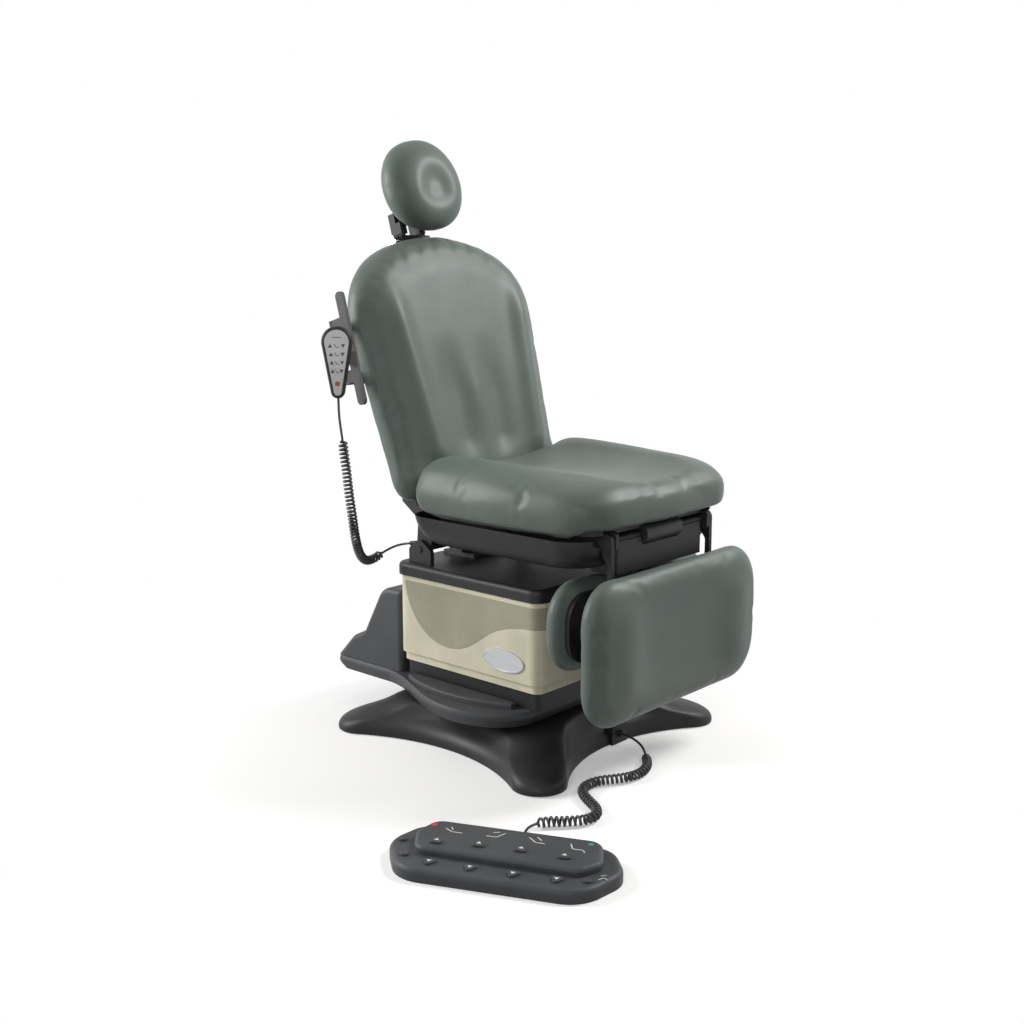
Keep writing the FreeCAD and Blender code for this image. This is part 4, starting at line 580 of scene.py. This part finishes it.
def shape_headrest(mesh):
    """One round dish with a soft wall, open towards the bottom."""
    across, _, height = to_back(coordinates(mesh))
    front = step(0.3, 0.8, facing(mesh, BACK_FRONT))
    rise = height - HEADREST_DISH_HEIGHT
    ring = np.hypot(across * 1.05, rise * 0.92)
    dish = (1 - step(0.014, 0.078, ring)) * 0.014
    push_back_face(mesh, front * dish * step(-0.085, -0.005, rise))


def shape_seat(mesh):
    """A scooped top with rolls along the rear of both sides and a falling front edge."""
    points = coordinates(mesh)
    across, along, _ = points.T
    top = step(0.2, 0.7, facing(mesh, (0.0, 0.0, 1.0)))
    side = np.abs(across)
    rear = step(-0.34, 0.02, along)
    roll = hill(side, 0.240, 0.050) * rear * 0.014
    scoop = hill(across, 0.0, 0.15) * hill(along, -0.10, 0.20) * 0.010
    front = 1 - step(-0.45, -0.27, along)
    corner = hill(along, 0.085, 0.030) * hill(side, 0.275, 0.030)
    crease = corner * np.sin((side - along) * 330.0) * 0.0016
    points[:, 2] += top * (roll - scoop - front * 0.007) + crease
    set_coordinates(mesh, points)


def shape_leg(mesh):
    """Two soft upright rolls on the calf pad with a shallow field between."""
    points = coordinates(mesh)
    across, _, rise = points.T
    front = step(0.3, 0.8, facing(mesh, (0.0, -1.0, 0.0)))
    side = np.abs(across)
    height = step(0.19, 0.27, rise) * (1 - step(0.40, 0.475, rise))
    roll = hill(side, 0.215, 0.055) * height * 0.006
    field = hill(across, 0.0, 0.14) * height * 0.004
    points[:, 1] += front * (field - roll)
    set_coordinates(mesh, points)


def shape_footrest(mesh):
    """A plain domed pad, slightly fuller in the middle."""
    points = coordinates(mesh)
    rear = step(0.3, 0.8, facing(mesh, (0.0, 1.0, 0.0)))
    points[:, 1] += rear * hill(points[:, 0], 0.0, 0.2) * hill(points[:, 2], 0.36, 0.07) * 0.003
    set_coordinates(mesh, points)


# Each pad's node, piece, body, shaping, rounds of softening, fill, and levelling where it has one.
PADS = (
    ("back_cushion", "back_pad", "back", shape_back, 45, 0.8),
    ("seat_cushion", "seat_pad", "seat", shape_seat, 14, 0.8),
    ("headrest_cushion", "headrest_pad", "headrest", shape_headrest, 24, 0.85, level_headrest),
    ("leg_cushion", "calf_pad", "leg_rest", shape_leg, 50, 0.8),
    ("footrest_cushion", "footrest_pad", "footrest", shape_footrest, 30, 0.8),
)


# Cords

def nurbs_curve(name, points, resolution):
    """A curve object whose smooth line has the points as its control points."""
    curve = bpy.data.curves.new(name, "CURVE")
    curve.dimensions = "3D"
    curve.resolution_u = resolution
    spline = curve.splines.new("NURBS")
    spline.points.add(len(points) - 1)
    for point, place in zip(spline.points, points):
        point.co = (*place, 1.0)
    spline.order_u = 3
    spline.use_endpoint_u = True
    piece = bpy.data.objects.new(name, curve)
    bpy.context.scene.collection.objects.link(piece)
    return piece


def line_of(piece):
    """The points that the curve object's line runs through."""
    bpy.context.view_layer.update()
    mesh = applied(piece)
    points = coordinates(mesh)
    bpy.data.meshes.remove(mesh)
    return points


def drop_curve(piece):
    curve = piece.data
    bpy.data.objects.remove(piece)
    bpy.data.curves.remove(curve)


def cord_line(name, route):
    """Points along the smooth line of the route."""
    carrier = nurbs_curve(name, route, 24)
    points = line_of(carrier)
    drop_curve(carrier)
    return points


def curls(line, radius, turns, lead_in, lead_out):
    """The curly cord's line: plain leads at both ends and even curls between them."""
    steps = np.linalg.norm(np.diff(line, axis=0), axis=1)
    run = np.concatenate([[0.0], np.cumsum(steps)])
    total = run[-1]
    begin, finish = lead_in, total - lead_out
    marks = list(np.linspace(0.0, begin, POINTS_PER_LEAD)[:-1])
    marks += list(np.linspace(begin, finish, turns * POINTS_PER_TURN + 1))
    marks += list(np.linspace(finish, total, POINTS_PER_LEAD)[1:])
    marks = np.array(marks)

    def along(distances):
        return np.stack([np.interp(distances, run, line[:, axis]) for axis in range(3)], axis=1)

    tangents = along(marks + TANGENT_REACH) - along(marks - TANGENT_REACH)
    tangents /= np.linalg.norm(tangents, axis=1, keepdims=True)
    side = np.cross(tangents[0], FIRST_CURL_AXIS)
    ease = (finish - begin) / turns
    result = []
    for mark, place, tangent in zip(marks, along(marks), tangents):
        side = side - tangent * np.dot(side, tangent)
        side /= np.linalg.norm(side)
        lift = np.cross(tangent, side)
        swell = radius * step(0.0, 1.0, min((mark - begin) / ease, (finish - mark) / ease))
        angle = 2 * math.pi * turns * np.clip((mark - begin) / (finish - begin), 0.0, 1.0)
        result.append(place + side * swell * math.cos(angle) + lift * swell * math.sin(angle))
    return result


def curly_cord(name, route, turns, leads, material):
    sizes = bpy.context.scene.chair_cords
    line = cord_line(name + "_route", route)
    points = curls(line, sizes.curl / CURL_DRAW_IN, turns, *leads)
    piece = nurbs_curve(name, points, 4)
    curve = piece.data
    curve.bevel_depth = sizes.diameter / 2
    curve.bevel_resolution = 3
    curve.use_fill_caps = True
    curve.materials.append(material)
    return piece


def mesh_cord(piece):
    """The cord as a mesh tube, with the line that it follows."""
    name = piece.name
    tube = applied(piece)
    piece.data.bevel_depth = 0.0
    path = line_of(piece).tolist()
    drop_curve(piece)
    tube.name = name
    shade_smooth(tube)
    mesh_piece = bpy.data.objects.new(name, tube)
    bpy.context.scene.collection.objects.link(mesh_piece)
    return mesh_piece, path


# Printed marks

INKS = {"white": (0.72, 0.73, 0.72), "red": (0.55, 0.045, 0.05), "teal": (0.02, 0.33, 0.27),
        "dark": (0.02, 0.021, 0.022)}
MARK_PROUD = 0.0004
BUTTON_MARK_PROUD = 0.0003
FOOT_FIGURE_SCALE = 1.5


def control_point(x, y, z):
    return CONTROL_PLACE + Matrix.Rotation(CONTROL_TURN, 3, "Z") @ Vector((x, y, z))


def hand_point(x, z, proud):
    """A place on the hand control's face, from the middle of its top edge."""
    return HAND_TOP + Matrix.Rotation(HAND_TURN, 3, "Z") @ Vector((x, -HAND_FACE_DEPTH - proud, z))


def circle(centre, radius, count):
    angles = [2 * math.pi * k / count for k in range(count)]
    return [(centre[0] + radius * math.cos(a), centre[1] + radius * math.sin(a)) for a in angles]


def strokes(name, lines, width, place, material, body):
    """Printed lines of one width: flat strips with round joints, laid by the place function."""
    work = bmesh.new()
    for line in lines:
        for start, end in zip(line, line[1:]):
            start, end = Vector(start), Vector(end)
            along = end - start
            across = Vector((-along.y, along.x)).normalized() * width / 2
            corners = [start + across, start - across, end - across, end + across]
            work.faces.new([work.verts.new(place(*corner)) for corner in corners])
        for spot in line:
            work.faces.new([work.verts.new(place(*corner)) for corner in circle(spot, width / 2, 10)])
    add_object(name, mesh_from(name, work), material, body)


def patch(name, outline, place, material, body):
    """A printed area with the outline, laid by the place function."""
    work = bmesh.new()
    work.faces.new([work.verts.new(place(*corner)) for corner in outline])
    add_object(name, mesh_from(name, work), material, body)


def disc(name, centre, radius, place, material, body):
    patch(name, circle(centre, radius, 32), place, material, body)


# Operators

class CHAIR_OT_stage(bpy.types.Operator):
    """Floor, light and camera"""
    bl_idname = "chair.stage"
    bl_label = "Stage"

    def execute(self, context):
        studio = context.scene.chair_studio
        scene = context.scene
        scene.view_settings.view_transform = "Standard"
        self.add_camera(scene, studio)
        self.add_floor()
        self.add_light(studio)
        return {"FINISHED"}

    def add_camera(self, scene, studio):
        data = bpy.data.cameras.new("Camera")
        data.lens = studio.lens
        data.sensor_width = CAMERA_SENSOR
        camera = bpy.data.objects.new("Camera", data)
        sine, cosine = math.sin(CAMERA_TURN), math.cos(CAMERA_TURN)
        level, rise = math.cos(CAMERA_TILT), math.sin(CAMERA_TILT)
        back = Vector((sine * level, -cosine * level, rise))
        right = Vector((cosine, sine, 0.0))
        up = back.cross(right)
        matrix = Matrix((right, up, back)).transposed().to_4x4()
        matrix.translation = CAMERA_PLACE
        camera.matrix_world = matrix
        scene.collection.objects.link(camera)
        scene.camera = camera

    def add_floor(self):
        work = bmesh.new()
        bmesh.ops.create_circle(work, cap_ends=True, radius=FLOOR_RADIUS, segments=96)
        material, shader, place = new_material("studio_floor")
        tone = place.noise(3.0, 2.0).ramp(0.2, 0.8).mix((0.80, 0.79, 0.78, 1), (0.82, 0.81, 0.80, 1))
        feed(shader, Base_Color=tone, Roughness=0.9, Specular_IOR_Level=0.1)
        glow = place.make("ShaderNodeEmission", None, {"Color": WHITE, "Strength": FLOOR_GLOW})
        lit = place.make("ShaderNodeAddShader", None, {0: Socket(shader.outputs[0]), 1: glow})
        reach = place.make("ShaderNodeVectorMath", {"operation": "DISTANCE"},
                           {0: place, 1: FLOOR_MIDDLE}, "Value")
        blank = place.make("ShaderNodeEmission", None, {"Color": WHITE, "Strength": 1.0})
        look = place.make("ShaderNodeMixShader", None, {0: reach.ramp(*FLOOR_FADE), 1: lit, 2: blank})
        bounce = place.make("ShaderNodeBsdfDiffuse", None, {"Color": FLOOR_BOUNCE})
        total = place.make("ShaderNodeMixShader", None, {0: place.shown_rays(), 1: bounce, 2: look})
        tree = material.node_tree
        tree.links.new(total.socket, tree.nodes["Material Output"].inputs["Surface"])
        floor = add_object("studio_floor", mesh_from("studio_floor", work), material)
        floor.location.z = -FLOOR_DROP

    def add_light(self, studio):
        world = bpy.data.worlds.new("studio")
        bpy.context.scene.world = world
        world.use_nodes = True
        tree = world.node_tree
        background = tree.nodes["Background"]
        strength = Socket(background.outputs[0]).shown_rays() * (1.0 - studio.ambient) + studio.ambient
        tree.links.new(strength.socket, background.inputs["Strength"])
        background.inputs["Color"].default_value = WHITE
        for name, (place, target, sizes) in LAMPS.items():
            self.add_area(name, place, target, sizes, getattr(studio, name))

    def add_area(self, name, place, target, sizes, power):
        data = bpy.data.lights.new(name, "AREA")
        data.shape = "RECTANGLE"
        data.size, data.size_y = sizes
        data.energy = power
        lamp = bpy.data.objects.new(name, data)
        lamp.location = place
        lamp.rotation_euler = (Vector(place) - Vector(target)).to_track_quat("Z", "Y").to_euler()
        bpy.context.scene.collection.objects.link(lamp)


class CHAIR_OT_cords(bpy.types.Operator):
    """The two curly cords"""
    bl_idname = "chair.cords"
    bl_label = "Cords"

    def execute(self, context):
        sizes = context.scene.chair_cords
        rubber = jacket("cord_jacket", (0.012, 0.012, 0.013))
        foot = curly_cord("foot_control_cord", FOOT_ROUTE, sizes.foot_turns, FOOT_LEADS, rubber)
        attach(foot, "base")
        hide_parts("foot_cord")
        hand = curly_cord("hand_control_cord", HAND_ROUTE, sizes.hand_turns, HAND_LEADS, rubber)
        hand, hand_path = mesh_cord(hand)
        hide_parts("hand_cord")
        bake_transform(hand)
        return {"FINISHED"}


class CHAIR_OT_upholstery(bpy.types.Operator):
    """The five padded pieces"""
    bl_idname = "chair.upholstery"
    bl_label = "Upholstery"

    def execute(self, context):
        sizes = context.scene.chair_upholstery
        cover = vinyl("sage_vinyl", sizes.colour, sizes.roughness)
        for node, name, body, *making in PADS:
            pad(node, name, body, cover, *making)
        return {"FINISHED"}


class CHAIR_OT_finishes(bpy.types.Operator):
    """Materials of the moulded and metal pieces"""
    bl_idname = "chair.finishes"
    bl_label = "Finishes"

    def execute(self, context):
        colours = context.scene.chair_finishes
        looks = {
            "base_black": moulding("base_moulding", colours.base, 0.46),
            "deck_grey": moulding("deck_moulding", colours.deck, 0.50),
            "shroud_cream": moulding("shroud_cream", colours.cream, 0.36, grain=0.08),
            "shroud_tan": moulding("shroud_tan", colours.tan, 0.36, grain=0.08),
            "badge_silver": bare_metal("badge_plate", (0.50, 0.51, 0.52), 0.34, (1.0, 1.0, 30.0)),
            "frame_black": coated_metal("frame_coat", colours.frame, 0.55),
            "drive_grey": coated_metal("drive_casting", (0.035, 0.035, 0.038), 0.48),
            "bright_steel": bare_metal("ground_steel", colours.steel, 0.28),
            "rail_grey": coated_metal("rail_bar", (0.060, 0.060, 0.058), 0.62),
            "keypad_grey": moulding("keypad_face", colours.keypad, 0.34, grain=0.04),
            "cord_black": jacket("socket_rubber", (0.014, 0.014, 0.015)),
            "upholstery": vinyl("hidden_vinyl", context.scene.chair_upholstery.colour, 0.4),
        }
        for row in frame["record"]["subparts"]:
            node = NODES[row["node"]]
            node.data.materials.clear()
            node.data.materials.append(looks[row["material_slot"]])
        return {"FINISHED"}


class CHAIR_OT_marks(bpy.types.Operator):
    """Plain printed marks on the two controls"""
    bl_idname = "chair.marks"
    bl_label = "Marks"

    def execute(self, context):
        self.inks = {name: painted_mark("ink_" + name, colour) for name, colour in INKS.items()}
        self.foot_marks()
        self.hand_marks()
        return {"FINISHED"}

    def foot_marks(self):
        def tier(x, y):
            return control_point(x, y, CONTROL_TOP + MARK_PROUD)

        def shelf(x, y):
            return control_point(x, y, CONTROL_STEP + MARK_PROUD)

        white = self.inks["white"]
        figures = [
            [[(-0.014, 0.004), (-0.002, -0.004), (0.012, -0.004)], [(-0.008, 0.010), (-0.003, 0.003)]],
            [[(-0.012, -0.006), (0.002, -0.006), (0.010, 0.008)], [(-0.006, 0.006), (0.002, 0.010)]],
            [[(-0.012, 0.006), (0.0, -0.006), (0.012, -0.006)], [(-0.002, 0.010), (0.006, 0.002)]],
            [[(-0.010, 0.008), (-0.004, -0.006), (0.010, -0.006), (0.014, -0.012)]]]
        spots = [(-0.118, 0.050), (-0.030, 0.056), (0.056, 0.056), (0.140, 0.050)]
        for number, (lines, (x, y)) in enumerate(zip(figures, spots), 1):
            moved = [[(x + u * FOOT_FIGURE_SCALE, y + v * FOOT_FIGURE_SCALE) for u, v in line]
                     for line in lines]
            strokes("foot_mark_%d" % number, moved, 0.0026, tier, white, "base")
        self.button_marks()
        turn_figure = [[(0.206, -0.036), (0.214, -0.026), (0.222, -0.032)],
                       [(0.206, -0.020), (0.216, -0.014)]]
        strokes("foot_mark_turn", turn_figure, 0.002, shelf, white, "base")
        disc("foot_mark_stop", (-0.168, 0.066), 0.0075, tier, self.inks["red"], "base")
        disc("foot_mark_ready", (0.164, 0.072), 0.006, tier, self.inks["teal"], "base")

    def button_marks(self):
        rows = (("raise", RAISE_ROW, CONTROL_TOP, 1), ("lower", LOWER_ROW, CONTROL_STEP, -1))
        for kind, row, surface, turn in rows:
            def crown(u, v, height=surface + BUTTON_PROUD + BUTTON_MARK_PROUD):
                return control_point(u, v, height)

            for number, (x, y) in enumerate(row, 1):
                foot = y - turn * 0.003
                arrow = [(x - 0.0055, foot), (x + 0.0055, foot), (x, y + turn * 0.006)]
                name = "%s_button_%d" % (kind, number)
                patch(name + "_mark", arrow, crown, self.inks["white"], name)

    def hand_marks(self):
        def face(x, z):
            return hand_point(x, z, MARK_PROUD)

        dark = self.inks["dark"]
        arrow_up = [(-0.005, -0.004), (0.005, -0.004), (0.0, 0.005)]
        arrow_down = [(-0.005, 0.004), (0.0, -0.005), (0.005, 0.004)]
        for number, z in enumerate((-0.046, -0.066, -0.086, -0.106), 1):
            spread = 0.017 - 0.0016 * number
            left = [(x - spread, h + z) for x, h in arrow_up]
            right = [(x + spread, h + z) for x, h in arrow_down]
            patch("hand_key_up_%d" % number, left, face, dark, "back")
            patch("hand_key_down_%d" % number, right, face, dark, "back")
            figure = [[(-0.005, z + 0.004), (-0.001, z - 0.003), (0.006, z - 0.003)]]
            strokes("hand_figure_%d" % number, figure, 0.0016, face, dark, "back")
        line = [[(-0.010, -0.026), (0.010, -0.026)]]
        strokes("hand_line", line, 0.0018, face, dark, "back")
        disc("hand_stop", (0.0, -0.136), 0.0062, face, self.inks["red"], "back")


CLASSES = (ChairUpholstery, ChairFinishes, ChairCords, ChairStudio,
           CHAIR_OT_stage, CHAIR_OT_cords, CHAIR_OT_upholstery, CHAIR_OT_finishes, CHAIR_OT_marks)
GROUPS = {"chair_upholstery": ChairUpholstery, "chair_finishes": ChairFinishes,
          "chair_cords": ChairCords, "chair_studio": ChairStudio}
STEPS = ("stage", "cords", "finishes", "marks", "upholstery")


class CHAIR_PT_panel(bpy.types.Panel):
    """Lists the chair's sizes, colours and steps"""
    bl_idname = "CHAIR_PT_panel"
    bl_label = "Procedure chair"
    bl_space_type = "VIEW_3D"
    bl_region_type = "UI"
    bl_category = "Chair"

    def draw(self, context):
        for group, kind in GROUPS.items():
            values = getattr(context.scene, group)
            column = self.layout.column()
            for name in kind.__annotations__:
                column.prop(values, name)
        for name in STEPS:
            self.layout.operator("chair." + name)


def register():
    for kind in CLASSES + (CHAIR_PT_panel,):
        bpy.utils.register_class(kind)
    for name, kind in GROUPS.items():
        setattr(bpy.types.Scene, name, bpy.props.PointerProperty(type=kind))


def unregister():
    for name in GROUPS:
        delattr(bpy.types.Scene, name)
    for kind in reversed(CLASSES + (CHAIR_PT_panel,)):
        bpy.utils.unregister_class(kind)


def main():
    register()
    for name in STEPS:
        getattr(bpy.ops.chair, name)()


if __name__ == "__main__":
    main()
